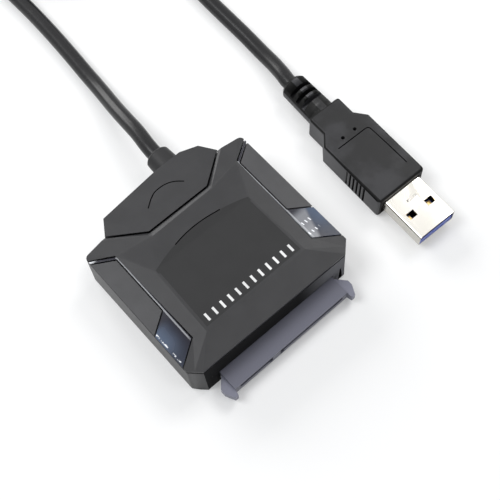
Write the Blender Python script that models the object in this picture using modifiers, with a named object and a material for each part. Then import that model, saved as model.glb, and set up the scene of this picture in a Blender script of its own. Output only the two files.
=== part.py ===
"""Adapter from a USB plug to a drive's 22-way receptacle: case, board, cable and plug."""

import math

import bmesh
import bpy
from mathutils import Matrix, Vector, geometry

MM = 0.001

# Gap between two pieces that touch on the real product
SEAT = 0.3 * MM

# Case in plan, measured back from its front wall
CASE_WIDTH = 50.6 * MM
FRONT_CHAMFER = 2.9 * MM
SIDE_END = 42.1 * MM
REAR_CORNER_RADIUS = 1.3 * MM
NOTCH = (18.2 * MM, 43.1 * MM)
PLATE_CORNER = (15.35 * MM, 47.4 * MM)
PLATE_REAR = 49.15 * MM
GROMMET_FLAT = 3.7 * MM

# Case heights
FLOOR = 1.2 * MM
WALL = 1.8 * MM
WALL_TOP = 11.6 * MM
RIM = 12.5 * MM
RIDGE = 13.3 * MM
CROWN = 13.97 * MM
BOTTOM_ROUNDING = 0.8 * MM
FOOT_ANGLE = math.radians(30)

# Shield-shaped plateau on the cover
SHIELD_FRONT = (15.2 * MM, 7.9 * MM)
SHIELD_SIDE = (14.74 * MM, 27.4 * MM)
SHIELD_SAGITTA = 3.0 * MM
SHIELD_ARC_STEPS = 8

# Groove between the main cover and the rear plate
GROOVE_BEND = (9.38 * MM, 36.46 * MM)
GROOVE_BAND = 1.1 * MM
GROOVE_STEP = 0.3 * MM
GROOVE_DEPTH = 0.7 * MM
GROOVE_SHOULDER = 13.75 * MM
PLATE_SHOULDER = 13.45 * MM
GROOVE_END_DEPTH = 0.35 * MM

# Recess along each side of the cover, with its glossy strip and its trim panel
RECESS_INNER = 18.85 * MM
RECESS_FRONT = 4.5 * MM
RECESS_REAR = 41.0 * MM
RECESS_SLANT = 0.655
STRIP_RAIL = 0.55 * MM
STRIP_INNER_TOP = 13.15 * MM
PANEL_FRONT = 15.3 * MM
TRAY_THICKNESS = 1.0 * MM
TRAY_WEB = 1.05 * MM

# Inside of the cover
LID_SKIN = 1.45 * MM
POCKET_MARGIN = 3.5 * MM
LIP_WIDTH = 0.9 * MM
LIP_DEPTH = 1.0 * MM

# Opening in the case for the receptacle
OPENING_ROOM = 2.9 * MM
OPENING_TOP = 5.4 * MM
OPENING_SLIT = 0.7 * MM
OPENING_SLIT_TOP = 6.5 * MM

# Drive receptacle
CONTACT_PITCH = 1.27 * MM
SIGNAL_CONTACTS = 7
POWER_CONTACTS = 15
SLOT_END_ROOM = 0.82 * MM
SLOT_KEY_ROOM = 1.97 * MM
WEB = 2.41 * MM
END_WALL = 1.605 * MM
BODY_FRONT = -5.2 * MM
BODY_REAR = 4.2 * MM
BODY_BOTTOM = 1.3 * MM
BODY_TOP = 4.8 * MM
SLOT_BOTTOM = 2.8 * MM
SLOT_TOP = 4.3 * MM
SLOT_DEPTH = 5.0 * MM
KEY_WIDTH = 1.1 * MM
KEY_DROP = 0.9 * MM
TAIL_TUNNEL = 0.85 * MM
ARM_REACH = 2.5 * MM
ARM_TIP = -6.7 * MM
ARM_BOTTOM = 1.6 * MM
ARM_TOP = 4.1 * MM
CONTACT_WIDTH = 0.45 * MM
CONTACT_THICKNESS = 0.25 * MM
CONTACT_ARCH = 0.45 * MM
CONTACT_TAIL = 2.0 * MM
# Shares of the slot's depth at which a contact's arch ends and starts, and at which its tip ends
CONTACT_STATIONS = (0.55, 0.35, 0.15)

# Circuit board
BOARD_ROOM = 2.5 * MM
BOARD_THICKNESS = 1.0 * MM
BOARD_REAR = 39.0 * MM
BOARD_CORNER = 3.0 * MM
CHIP_EDGE = 0.15 * MM

# Parts on the board: name, side, distance in from that side's edge, place along the case, size, finish
BOARD_PARTS = [
    ("bridge_chip", 0, 0.0, 21.0 * MM, (9.0 * MM, 9.0 * MM, 1.3 * MM), "chip"),
    ("flash_chip", 1, 10.5 * MM, 28.0 * MM, (5.0 * MM, 4.0 * MM, 1.5 * MM), "chip"),
    ("crystal", -1, 12.0 * MM, 28.0 * MM, (5.0 * MM, 3.2 * MM, 1.1 * MM), "tin"),
    ("regulator", -1, 6.5 * MM, 33.0 * MM, (6.5 * MM, 3.5 * MM, 1.7 * MM), "chip"),
    ("inductor", -1, 6.5 * MM, 24.5 * MM, (6.0 * MM, 6.0 * MM, 2.8 * MM), "chip"),
    ("left_lamp", -1, 2.2 * MM, 11.5 * MM, (1.6 * MM, 3.0 * MM, 1.1 * MM), "lamp"),
    ("right_lamp", 1, 2.2 * MM, 11.5 * MM, (1.6 * MM, 3.0 * MM, 1.1 * MM), "lamp"),
]
BOARD_CANS = [
    ("input_capacitor", 1, 7.0 * MM, 19.0 * MM, 5.0 * MM, 5.4 * MM),
    ("output_capacitor", -1, 7.5 * MM, 15.5 * MM, 5.0 * MM, 5.4 * MM),
]

# Cable and its grommet in the rear wall
CABLE = 4.4 * MM
GROMMET_X = 6.9 * MM
GROMMET_Z = 8.0 * MM
GROMMET_BASE = 7.5 * MM
GROMMET_TIP = 6.9 * MM
GROMMET_LENGTH = 5.2 * MM
GROMMET_ROUNDING = 0.6 * MM
GROMMET_NECK = 5.4 * MM
GROMMET_FLANGE = 7.0 * MM
FLANGE_THICKNESS = 1.2 * MM
WIRE = 1.1 * MM
WIRE_PAD_Y = 36.0 * MM
WIRE_PAD_PITCH = 2.4 * MM
WIRE_PAD_RUN = 2.4 * MM
WIRE_LEAD = 1.5 * MM
WIRE_BEND = 4.0 * MM
WIRE_STEP = 1.4 * MM
BUNDLE_RADIUS = 1.5 * MM
# Each wire's fifth of a turn round the bundle, clockwise from the top: no two cross on the way to their pads
BUNDLE_PLACES = (4, 3, 0, 2, 1)
BUNDLE_STEP = math.tau / 5
# Share of the way across to its pad that a wire has gone after its lead and after its bend
WIRE_SHARES = (0.1, 0.55)

# USB plug, in its own frame: the moulding's front face is y = 0 and the shell points to -Y
PLUG_ORIGIN = (47.66 * MM, 5.74 * MM)
PLUG_YAW = math.radians(-1.82)
PLUG_AXIS_Z = 4.1 * MM
MOULD_HEIGHT = 8.2 * MM
MOULD_HALF = 7.75 * MM
MOULD_NECK_HALF = 5.2 * MM
MOULD_SHOULDER = 21.2 * MM
MOULD_NECK = 24.3 * MM
MOULD_REAR = 30.3 * MM
MOULD_ROUNDING = 0.8 * MM
MOULD_EDGE_ANGLE = math.radians(60)
GRIP_GROOVES = 6
GRIP_FIRST = 5.7 * MM
GRIP_PITCH = 1.3 * MM
GRIP_WIDTH = 0.6 * MM
GRIP_DEPTH = 0.5 * MM
RELIEF_BASE = 8.1 * MM
RELIEF_TIP = 7.6 * MM
RELIEF_TIP_ROUNDING = 1.28 * MM
RELIEF_END = 43.0 * MM
RELIEF_SLOTS = 3
RELIEF_SLOT_FIRST = 34.4 * MM
RELIEF_SLOT_PITCH = 2.4 * MM
RELIEF_SLOT_WIDTH = 1.15 * MM
RELIEF_CORE = 1.7 * MM
SHELL_WIDTH = 12.0 * MM
SHELL_HEIGHT = 4.5 * MM
SHELL_WALL = 0.3 * MM
SHELL_CORNER = 0.7 * MM
SHELL_EXPOSED = 13.2 * MM
SHELL_BURIED = 6.0 * MM
LATCH_HOLE = (2.4 * MM, 1.9 * MM)
LATCH_SPACING = 6.2 * MM
LATCH_FROM_TIP = 6.2 * MM
TONGUE_THICKNESS = 1.9 * MM
TONGUE_RECESS = 0.2 * MM
TONGUE_BASE = 1.5 * MM
PAD_SETBACK = 1.2 * MM
PAD_THICKNESS = 0.15 * MM
FRONT_PADS = 4
FRONT_PAD_PITCH = 2.3 * MM
FRONT_PAD = (1.1 * MM, 5.6 * MM)
REAR_PADS = 5
REAR_PAD_PITCH = 1.9 * MM
REAR_PAD = (0.8 * MM, 2.6 * MM)

# Cable lying on the surface: its route out of the case, its coil, and its route to the plug
COIL_CENTRE = (36.0 * MM, 146.0 * MM)
COIL_RADIUS = 22.5 * MM
TURN_STEP = 4.6 * MM
COIL_TOP_RISE = 3.96 * MM
COIL_STEPS = 48
ROUND_STEPS = 24
TUBE_STEP = 9.0 * MM
CABLE_LIFT = 0.05 * MM
CASE_ROUTE = [
    (6.95, 58.5, 8.0),
    (7.6, 63.5, 7.5),
    (8.25, 69.0, 6.4),
    (9.0, 74.5, 5.0),
    (9.8, 80.0, 3.7),
    (10.4, 85.5, 2.75),
    (10.8, 91.0, 2.35),
    (11.2, 98.0, 2.25),
    (11.5, 107.0, 2.25),
    (11.55, 116.0, 2.25),
    (11.45, 124.0, 2.25),
    (11.3, 130.8, 2.25),
]
PLUG_ROUTE = [
    (55.75, 124.7, 5.5),
    (54.85, 118.5, 4.0),
    (53.9, 112.0, 2.75),
    (53.0, 105.0, 2.25),
    (52.1, 96.5, 2.25),
    (51.55, 87.5, 2.25),
    (51.35, 79.0, 2.25),
    (51.2, 71.0, 2.25),
    (50.8, 63.0, 2.35),
    (50.3, 57.2, 3.1),
    (49.5, 52.6, 3.95),
]
STRAIGHT_RUN = 1.5 * MM

CASE_HALF = CASE_WIDTH / 2
SIGNAL_SLOT = (SIGNAL_CONTACTS - 1) * CONTACT_PITCH + SLOT_END_ROOM + SLOT_KEY_ROOM
POWER_SLOT = (POWER_CONTACTS - 1) * CONTACT_PITCH + SLOT_END_ROOM + SLOT_KEY_ROOM
SLOTS_HALF = (SIGNAL_SLOT + WEB + POWER_SLOT) / 2
BODY_HALF = SLOTS_HALF + END_WALL
OPENING_HALF = BODY_HALF + OPENING_ROOM
BOARD_HALF = CASE_HALF - WALL - BOARD_ROOM
LID_BOTTOM = WALL_TOP + SEAT
GROMMET_END = PLATE_REAR + SEAT + GROMMET_LENGTH
CASE_FRONT_Y = -(GROMMET_END + ARM_TIP) / 2
BOARD_BOTTOM = FLOOR + SEAT
BOARD_TOP = BOARD_BOTTOM + BOARD_THICKNESS
BOARD_FRONT = BODY_REAR + SEAT
OPEN_END = 1.0 * MM
SMOOTH_ANGLE = math.radians(35)


def clear_scene():
    for item in list(bpy.data.objects):
        bpy.data.objects.remove(item, do_unlink=True)


def new_collection(name, hidden=False):
    collection = bpy.data.collections.new(name)
    bpy.context.scene.collection.children.link(collection)
    collection.hide_render = hidden
    return collection


def make_material(name, colour, roughness, metallic=0.0):
    material = bpy.data.materials.new(name)
    material.use_nodes = True
    shader = material.node_tree.nodes["Principled BSDF"]
    shader.inputs["Base Color"].default_value = (*colour, 1.0)
    shader.inputs["Roughness"].default_value = roughness
    shader.inputs["Metallic"].default_value = metallic
    return material


class Workshop:
    """Holds the part's collections, its parent empties and its finishes, and adds objects to them."""

    def __init__(self):
        self.parts = new_collection("usb_to_sata_adapter")
        self.cutters = new_collection("cutters", hidden=True)
        self.case_frame = self.add_frame("case_frame", (0, CASE_FRONT_Y, 0), 0)
        plug_x, plug_y = PLUG_ORIGIN
        self.plug_frame = self.add_frame("plug_frame", (plug_x, plug_y + CASE_FRONT_Y, 0), PLUG_YAW)
        self.finishes = {
            "case": make_material("case_plastic", (0.075, 0.075, 0.08), 0.5),
            "strip": make_material("smoked_strip", (0.06, 0.065, 0.085), 0.08),
            "panel": make_material("trim_plastic", (0.14, 0.14, 0.14), 0.45),
            "receptacle": make_material("slate_plastic", (0.15, 0.15, 0.19), 0.45),
            "gold": make_material("gold_contact", (0.83, 0.62, 0.28), 0.25, 1.0),
            "board": make_material("board_laminate", (0.02, 0.16, 0.07), 0.4),
            "chip": make_material("chip_resin", (0.02, 0.02, 0.02), 0.4),
            "tin": make_material("tin", (0.7, 0.7, 0.7), 0.3, 1.0),
            "lamp": make_material("lamp_resin", (0.8, 0.85, 0.9), 0.2),
            "cable": make_material("cable_jacket", (0.045, 0.045, 0.05), 0.4),
            "mould": make_material("plug_moulding", (0.05, 0.05, 0.055), 0.45),
            "shell": make_material("nickel_shell", (0.86, 0.85, 0.82), 0.2, 1.0),
            "tongue": make_material("blue_tongue", (0.08, 0.16, 0.6), 0.4),
        }
        for name, colour in WIRE_COLOURS:
            self.finishes[name] = make_material(name + "_insulation", colour, 0.4)

    def add_frame(self, name, location, yaw):
        frame = bpy.data.objects.new(name, None)
        frame.location = location
        frame.rotation_euler = (0, 0, yaw)
        self.parts.objects.link(frame)
        return frame

    def add(self, name, data, finish, frame=None):
        item = bpy.data.objects.new(name, data)
        item.parent = frame or self.case_frame
        data.materials.clear()
        data.materials.append(self.finishes[finish])
        self.parts.objects.link(item)
        return item

    def add_cutter(self, name, mesh, frame=None):
        item = bpy.data.objects.new(name, mesh)
        item.parent = frame or self.case_frame
        item.hide_render = True
        item.display_type = "WIRE"
        self.cutters.objects.link(item)
        return item

    def combine(self, item, operation, name, mesh):
        """Joins a shape to the item or cuts it away, and returns the shape's object."""
        cutter = self.add_cutter(name, mesh, item.parent)
        modifier = item.modifiers.new(name, "BOOLEAN")
        modifier.operation = operation
        modifier.solver = "EXACT"
        modifier.object = cutter
        return cutter


WIRE_COLOURS = [
    ("power_wire", (0.6, 0.03, 0.02)),
    ("data_pair", (0.1, 0.4, 0.12)),
    ("receive_pair", (0.1, 0.2, 0.6)),
    ("transmit_pair", (0.6, 0.4, 0.05)),
    ("ground_wire", (0.03, 0.03, 0.03)),
]


def finish_bmesh(bm, name):
    bmesh.ops.recalc_face_normals(bm, faces=bm.faces)
    mesh = bpy.data.meshes.new(name)
    bm.to_mesh(mesh)
    bm.free()
    return mesh


def add_box(bm, low, high):
    middle = (Vector(low) + Vector(high)) / 2
    size = Vector(high) - Vector(low)
    bmesh.ops.create_cube(bm, size=1.0, matrix=Matrix.Translation(middle) @ Matrix.Diagonal((*size, 1.0)))


def boxes(name, corners):
    """One mesh of separate boxes, each given by its lowest and highest corner."""
    bm = bmesh.new()
    for low, high in corners:
        add_box(bm, low, high)
    return finish_bmesh(bm, name)


def turned_profile(name, stations):
    """Half of a round bar's section, from (y, diameter) stations along the bar, closed at the axis."""
    bm = bmesh.new()
    places = [(0, stations[-1][0])]
    places += [(diameter / 2, y) for y, diameter in reversed(stations)]
    places.append((0, stations[0][0]))
    corners = [bm.verts.new((radius, y, 0)) for radius, y in places]
    for near, far in zip(corners, corners[1:]):
        bm.edges.new((near, far))
    mesh = bpy.data.meshes.new(name)
    bm.to_mesh(mesh)
    bm.free()
    return mesh


def turn_on_axis(item, axis, steps):
    screw = item.modifiers.new("turn", "SCREW")
    screw.axis = axis
    screw.steps = steps
    screw.render_steps = steps
    screw.use_merge_vertices = True
    screw.merge_threshold = 0.01 * MM


def plate(name, outlines, bottom, top):
    """A flat plate with vertical sides: the first outline is its edge, the others are holes."""
    curve = bpy.data.curves.new(name, "CURVE")
    curve.dimensions = "2D"
    curve.fill_mode = "BOTH"
    # The fill is drawn in millimetres, because it merges points that are under 0.03 units apart
    curve.extrude = (top - bottom) / 2 / MM
    for outline in outlines:
        spline = curve.splines.new("POLY")
        spline.points.add(len(outline) - 1)
        for point, (x, y) in zip(spline.points, outline):
            point.co = (x / MM, y / MM, 0, 1)
        spline.use_cyclic_u = True
    holder = bpy.data.objects.new(name, curve)
    bpy.context.scene.collection.objects.link(holder)
    graph = bpy.context.evaluated_depsgraph_get()
    mesh = bpy.data.meshes.new_from_object(holder.evaluated_get(graph))
    bpy.data.objects.remove(holder)
    mesh.shade_flat()
    bm = bmesh.new()
    bm.from_mesh(mesh)
    bmesh.ops.remove_doubles(bm, verts=bm.verts, dist=0.001)
    bmesh.ops.scale(bm, verts=bm.verts, vec=(MM, MM, MM))
    bmesh.ops.translate(bm, verts=bm.verts, vec=(0, 0, (top + bottom) / 2))
    bmesh.ops.recalc_face_normals(bm, faces=bm.faces)
    bm.to_mesh(mesh)
    bm.free()
    return mesh


def stand_along_x(mesh):
    """Turns a plate drawn in (y, z) and thick along z so that it is thick along x."""
    mesh.transform(Matrix(((0, 0, 1, 0), (1, 0, 0, 0), (0, 1, 0, 0), (0, 0, 0, 1))))
    return mesh


def stand_along_y(mesh):
    """Turns a plate drawn in (x, z) and thick along z so that it is thick along y."""
    mesh.transform(Matrix(((1, 0, 0, 0), (0, 0, -1, 0), (0, 1, 0, 0), (0, 0, 0, 1))))
    return mesh


def mirrored(points):
    return [(-x, y) for x, y in reversed(points)]


def rounded_corner(before, corner, after, radius, steps=4):
    """Points of an arc that replaces a corner."""
    corner = Vector(corner)
    to_before = (Vector(before) - corner).normalized()
    to_after = (Vector(after) - corner).normalized()
    half = to_before.angle(to_after) / 2
    reach = radius / math.tan(half)
    centre = corner + (to_before + to_after).normalized() * (radius / math.sin(half))
    start = corner + to_before * reach - centre
    end = corner + to_after * reach - centre
    spokes = [start.slerp(end, step / steps, start) for step in range(steps + 1)]
    return [tuple(centre + spoke * radius) for spoke in spokes]


def inset(outline, distance):
    """The outline moved inwards by a distance. The outline runs anticlockwise."""
    moved = []
    count = len(outline)
    for index in range(count):
        before, here, after = (Vector(outline[(index + shift) % count]) for shift in (-1, 0, 1))
        first = (here - before).normalized()
        second = (after - here).normalized()
        normal = (Vector((-first.y, first.x)) + Vector((-second.y, second.x))).normalized()
        reach = distance / normal.dot(Vector((-first.y, first.x)))
        moved.append(tuple(here + normal * reach))
    return moved


def smooth_points(waypoints, step):
    """Points about one step apart along a smooth curve through the waypoints."""
    points = [Vector(point) for point in waypoints]
    ends = [2 * points[0] - points[1], *points, 2 * points[-1] - points[-2]]
    smooth = [points[0]]
    for before, start, end, after in zip(ends, ends[1:], ends[2:], ends[3:]):
        pieces = max(1, round((end - start).length / step))
        for piece in range(1, pieces + 1):
            t = piece / pieces
            smooth.append(
                0.5
                * (
                    2 * start
                    + (end - before) * t
                    + (2 * before - 5 * start + 4 * end - after) * t**2
                    + (3 * start - before - 3 * end + after) * t**3
                )
            )
    return smooth


def tube(name, points, diameter):
    curve = bpy.data.curves.new(name, "CURVE")
    curve.dimensions = "3D"
    curve.bevel_depth = diameter / 2
    curve.bevel_resolution = 3
    curve.use_fill_caps = True
    spline = curve.splines.new("POLY")
    spline.points.add(len(points) - 1)
    for point, place in zip(spline.points, points):
        point.co = (*place, 1)
    return curve


def recess_line(y_outer, x, towards_front):
    """Where a slanted end of the recess crosses x. It meets the case's side at y_outer."""
    run = (CASE_HALF - x) * RECESS_SLANT
    return y_outer + run if towards_front else y_outer - run


def slant_offset(distance):
    return distance * math.hypot(1, RECESS_SLANT)


def rear_edge():
    """The rear plate's edge, from its right corner to its left one, with a flat for the grommet."""
    return [
        PLATE_CORNER,
        (GROMMET_X + GROMMET_FLAT, PLATE_REAR),
        (GROMMET_X - GROMMET_FLAT, PLATE_REAR),
        (-PLATE_CORNER[0], PLATE_CORNER[1]),
    ]


def groove_ends():
    """Where the groove's front edge, floor and rear edge reach the case's side, on the right."""
    corner = Vector((CASE_HALF, SIDE_END))
    notch = Vector(NOTCH)
    along_side = (corner - notch).normalized()
    along_plate = (Vector(PLATE_CORNER) - notch).normalized()
    front = notch + along_side * GROOVE_BAND
    rear = notch + along_plate * GROOVE_STEP
    return tuple(front), NOTCH, tuple(rear)


def side_edge(rounded=True):
    """The case's right-hand edge in plan, from the front wall to the rear plate's corner."""
    front_end, floor_end, rear_end = groove_ends()
    corner = [(CASE_HALF, SIDE_END)]
    if rounded:
        corner = rounded_corner((CASE_HALF, 0), corner[0], front_end, REAR_CORNER_RADIUS)
    return [
        (CASE_HALF - FRONT_CHAMFER, 0),
        (CASE_HALF - FRONT_CHAMFER / 2, FRONT_CHAMFER / 2),
        (CASE_HALF, FRONT_CHAMFER),
        (CASE_HALF, RECESS_FRONT),
        *corner,
        front_end,
        floor_end,
        rear_end,
    ]


def case_outline(rounded=True):
    """The case's outline in plan, anticlockwise from the front right."""
    side = side_edge(rounded)
    return side + rear_edge() + mirrored(side)


def shield_points():
    """The plateau's outline, anticlockwise from its front right corner."""
    half, side_y = SHIELD_SIDE
    radius = (half**2 + SHIELD_SAGITTA**2) / (2 * SHIELD_SAGITTA)
    reach = math.asin(half / radius)
    arc = []
    for step in range(SHIELD_ARC_STEPS + 1):
        angle = reach - 2 * reach * step / SHIELD_ARC_STEPS
        rise = radius * (math.cos(angle) - math.cos(reach))
        arc.append((radius * math.sin(angle), side_y + rise))
    return [SHIELD_FRONT, *arc, (-SHIELD_FRONT[0], SHIELD_FRONT[1])]


def groove_lines():
    """The groove's front edge, floor and rear edge as (points, heights), from right to left."""
    front_end, floor_end, rear_end = groove_ends()
    bend = Vector(GROOVE_BEND)
    diagonal = (Vector(floor_end) - bend).normalized()
    side = Vector((-diagonal.y, diagonal.x))
    across = (side + Vector((0, 1))).normalized()
    stretch = 1 / across.y
    front_bend = tuple(bend - across * GROOVE_BAND * stretch)
    rear_bend = tuple(bend + across * GROOVE_STEP * stretch)
    lines = []
    for end, turn, end_height, turn_height in (
        (front_end, front_bend, RIM, GROOVE_SHOULDER),
        (floor_end, GROOVE_BEND, RIM - GROOVE_END_DEPTH, GROOVE_SHOULDER - GROOVE_DEPTH),
        (rear_end, rear_bend, RIM, PLATE_SHOULDER),
    ):
        points = [end, turn]
        lines.append((points + mirrored(points), [end_height, turn_height, turn_height, end_height]))
    return lines


def cover_block():
    """The cover's faceted top, triangulated between its edges and creases, with a flat underside."""
    heights = {}

    def place(point, height):
        heights.setdefault((round(point[0], 7), round(point[1], 7)), height)

    chains = []
    for points, levels in groove_lines():
        for point, level in zip(points, levels):
            place(point, level)
        chains.append(points)
    rim = case_outline()
    for point in rim:
        place(point, RIM)
    shield = shield_points()
    for point in shield:
        place(point, CROWN)
    for sign in (-1, 1):
        recess = [
            (sign * CASE_HALF, RECESS_FRONT),
            (sign * RECESS_INNER, recess_line(RECESS_FRONT, RECESS_INNER, True)),
            (sign * RECESS_INNER, recess_line(RECESS_REAR, RECESS_INNER, False)),
        ]
        for point in recess[1:]:
            place(point, RIDGE)
        chains.append(recess)
        crease_start = (sign * SHIELD_FRONT[0], SHIELD_FRONT[1])
        chains.append([crease_start, (sign * (CASE_HALF - FRONT_CHAMFER / 2), FRONT_CHAMFER / 2)])
        chains.append([crease_start, recess[1]])
        chains.append([(sign * SHIELD_SIDE[0], SHIELD_SIDE[1]), recess[2]])
    chains.append([*rim, rim[0]])
    chains.append([*shield, shield[0]])

    keys = list(heights)
    index = {key: number for number, key in enumerate(keys)}
    edges = []
    for chain in chains:
        numbers = [index[round(x, 7), round(y, 7)] for x, y in chain]
        edges += zip(numbers, numbers[1:])
    found = geometry.delaunay_2d_cdt([Vector(key) for key in keys], edges, [], 1, 1e-7)
    points, _, faces, sources = found[:4]

    bm = bmesh.new()
    corners = [bm.verts.new((x, y, heights[keys[source[0]]])) for (x, y), source in zip(points, sources)]
    for face in faces:
        bm.faces.new([corners[number] for number in face])
    grown = bmesh.ops.extrude_face_region(bm, geom=bm.faces[:])["geom"]
    for corner in grown:
        if isinstance(corner, bmesh.types.BMVert):
            corner.co.z = LID_BOTTOM
    return finish_bmesh(bm, "cover_block")


def recess_outline(sign, clearance=0.0, outer=0.0):
    """The recess in plan, shrunk by a clearance on its inner sides and reaching past the case's side."""
    inner = RECESS_INNER + clearance
    edge = CASE_HALF + outer
    front = RECESS_FRONT + slant_offset(clearance)
    rear = RECESS_REAR - slant_offset(clearance)
    return [
        (sign * edge, recess_line(front, edge, True)),
        (sign * inner, recess_line(front, inner, True)),
        (sign * inner, recess_line(rear, inner, False)),
        (sign * edge, recess_line(rear, edge, False)),
    ]


def panel_outline(sign, clearance=0.0):
    """The trim panel in plan, grown by a clearance on its three inner sides."""
    inner = RECESS_INNER + 2 * SEAT + STRIP_RAIL - clearance
    front = PANEL_FRONT - slant_offset(clearance)
    rear = RECESS_REAR - slant_offset(2 * SEAT + STRIP_RAIL - clearance)
    return [
        (sign * CASE_HALF, front),
        (sign * inner, recess_line(front, inner, True)),
        (sign * inner, recess_line(rear, inner, False)),
        (sign * CASE_HALF, rear),
    ]


def slope_strip_top(mesh):
    """Lays the top face on the plane from the recess's inner edge down to the rim."""
    fall = (STRIP_INNER_TOP - RIM) / (CASE_HALF - RECESS_INNER)
    for corner in mesh.vertices:
        if corner.co.z > LID_BOTTOM + SEAT:
            corner.co.z = STRIP_INNER_TOP - (abs(corner.co.x) - RECESS_INNER) * fall
    return mesh


def make_top_cover(shop):
    cover = shop.add("top_cover", cover_block(), "case")
    pocket_half = RECESS_INNER - TRAY_WEB - SEAT
    pocket_rear = GROOVE_BEND[1] - POCKET_MARGIN
    low = (-pocket_half, POCKET_MARGIN, LID_BOTTOM - OPEN_END)
    pocket = boxes("cover_pocket", [(low, (pocket_half, pocket_rear, CROWN - LID_SKIN))])
    shop.combine(cover, "DIFFERENCE", "cover_pocket", pocket)
    for side, sign in (("left", -1), ("right", 1)):
        cut = plate(
            side + "_recess_cut",
            [recess_outline(sign, outer=OPEN_END)],
            LID_BOTTOM - OPEN_END,
            CROWN + OPEN_END,
        )
        shop.combine(cover, "DIFFERENCE", side + "_recess_cut", cut)
        shop.combine(cover, "UNION", side + "_tray", tray(side + "_tray", sign))
    front = WALL + SEAT
    lip_half = RECESS_INNER - TRAY_WEB
    low = (-lip_half, front, LID_BOTTOM - LIP_DEPTH)
    lip = boxes("front_lip", [(low, (lip_half, front + LIP_WIDTH, LID_BOTTOM + SEAT))])
    shop.combine(cover, "UNION", "front_lip", lip)


def tray(name, sign):
    """The ledge under the strip and the trim panel, with the web that hangs it from the cover."""
    web_outer = RECESS_INNER - SEAT
    web_inner = web_outer - TRAY_WEB
    outer = CASE_HALF - WALL - SEAT
    top = LID_BOTTOM - SEAT
    profile = [
        (sign * web_inner, top - TRAY_THICKNESS),
        (sign * outer, top - TRAY_THICKNESS),
        (sign * outer, top),
        (sign * web_outer, top),
        (sign * web_outer, LID_BOTTOM + SEAT),
        (sign * web_inner, LID_BOTTOM + SEAT),
    ]
    front = recess_line(RECESS_FRONT, outer, True)
    rear = recess_line(RECESS_REAR, RECESS_INNER, False)
    mesh = stand_along_y(plate(name, [profile], -rear, -front))
    return mesh


def make_strips(shop):
    for side, sign in (("left", -1), ("right", 1)):
        frame = recess_outline(sign, SEAT)
        window = panel_outline(sign, SEAT)
        strip = plate(side + "_light_strip", [frame + window[::-1]], LID_BOTTOM, RIM)
        shop.add(side + "_light_strip", slope_strip_top(strip), "strip")
        panel = plate(side + "_trim_panel", [panel_outline(sign)], LID_BOTTOM, RIM)
        shop.add(side + "_trim_panel", slope_strip_top(panel), "panel")


def make_bottom_case(shop):
    outline = case_outline()
    mesh = plate("bottom_case", [outline], 0, WALL_TOP)
    bm = bmesh.new()
    bm.from_mesh(mesh)
    low = [edge for edge in bm.edges if max(corner.co.z for corner in edge.verts) < SEAT]
    foot = [edge for edge in low if edge.is_manifold and abs(edge.calc_face_angle()) > FOOT_ANGLE]
    bmesh.ops.bevel(bm, geom=foot, offset=BOTTOM_ROUNDING, segments=2, profile=0.5, affect="EDGES")
    bm.to_mesh(mesh)
    bm.free()
    case = shop.add("bottom_case", mesh, "case")
    cavity = plate("case_cavity", [inset(case_outline(rounded=False), WALL)], FLOOR, WALL_TOP + OPEN_END)
    shop.combine(case, "DIFFERENCE", "case_cavity", cavity)
    pocket_rear = BODY_REAR + SEAT
    slit = OPENING_HALF - OPENING_SLIT
    opening = boxes(
        "receptacle_opening",
        [((-OPENING_HALF, -OPEN_END, -OPEN_END), (OPENING_HALF, pocket_rear, OPENING_TOP))],
    )
    shop.combine(case, "DIFFERENCE", "receptacle_opening", opening)
    cuts = []
    for sign in (-1, 1):
        near, far = sorted((sign * slit, sign * OPENING_HALF))
        cuts.append(((near, -OPEN_END, FLOOR), (far, WALL + OPEN_END, OPENING_SLIT_TOP)))
    shop.combine(case, "DIFFERENCE", "opening_slits", boxes("opening_slits", cuts))
    width = GROMMET_NECK + 2 * SEAT
    stations = [(PLATE_REAR - WALL - OPEN_END, width), (PLATE_REAR + OPEN_END, width)]
    hole = shop.combine(case, "DIFFERENCE", "grommet_hole", turned_profile("grommet_hole", stations))
    hole.location = (GROMMET_X, 0, GROMMET_Z)
    turn_on_axis(hole, "Y", ROUND_STEPS)


def arm_outline(sign):
    """A guide arm in plan: it leaves the body at a slant, runs forward and turns in at its tip."""
    root = BODY_HALF - SEAT
    reach = BODY_HALF + ARM_REACH
    return [
        (sign * root, ARM_REACH / 2),
        (sign * BODY_HALF, 0),
        (sign * reach, -ARM_REACH - SEAT),
        (sign * reach, ARM_TIP + ARM_REACH),
        (sign * (reach - ARM_REACH / 2), ARM_TIP),
        (sign * (BODY_HALF + SEAT), ARM_TIP),
        (sign * root, BODY_FRONT + ARM_REACH / 2),
    ]


def slot_spans():
    """The signal slot's and the power slot's ends, and the side on which each has its key."""
    web_start = SIGNAL_SLOT - SLOTS_HALF
    return [(-SLOTS_HALF, web_start, 1), (web_start + WEB, SLOTS_HALF, -1)]


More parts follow.
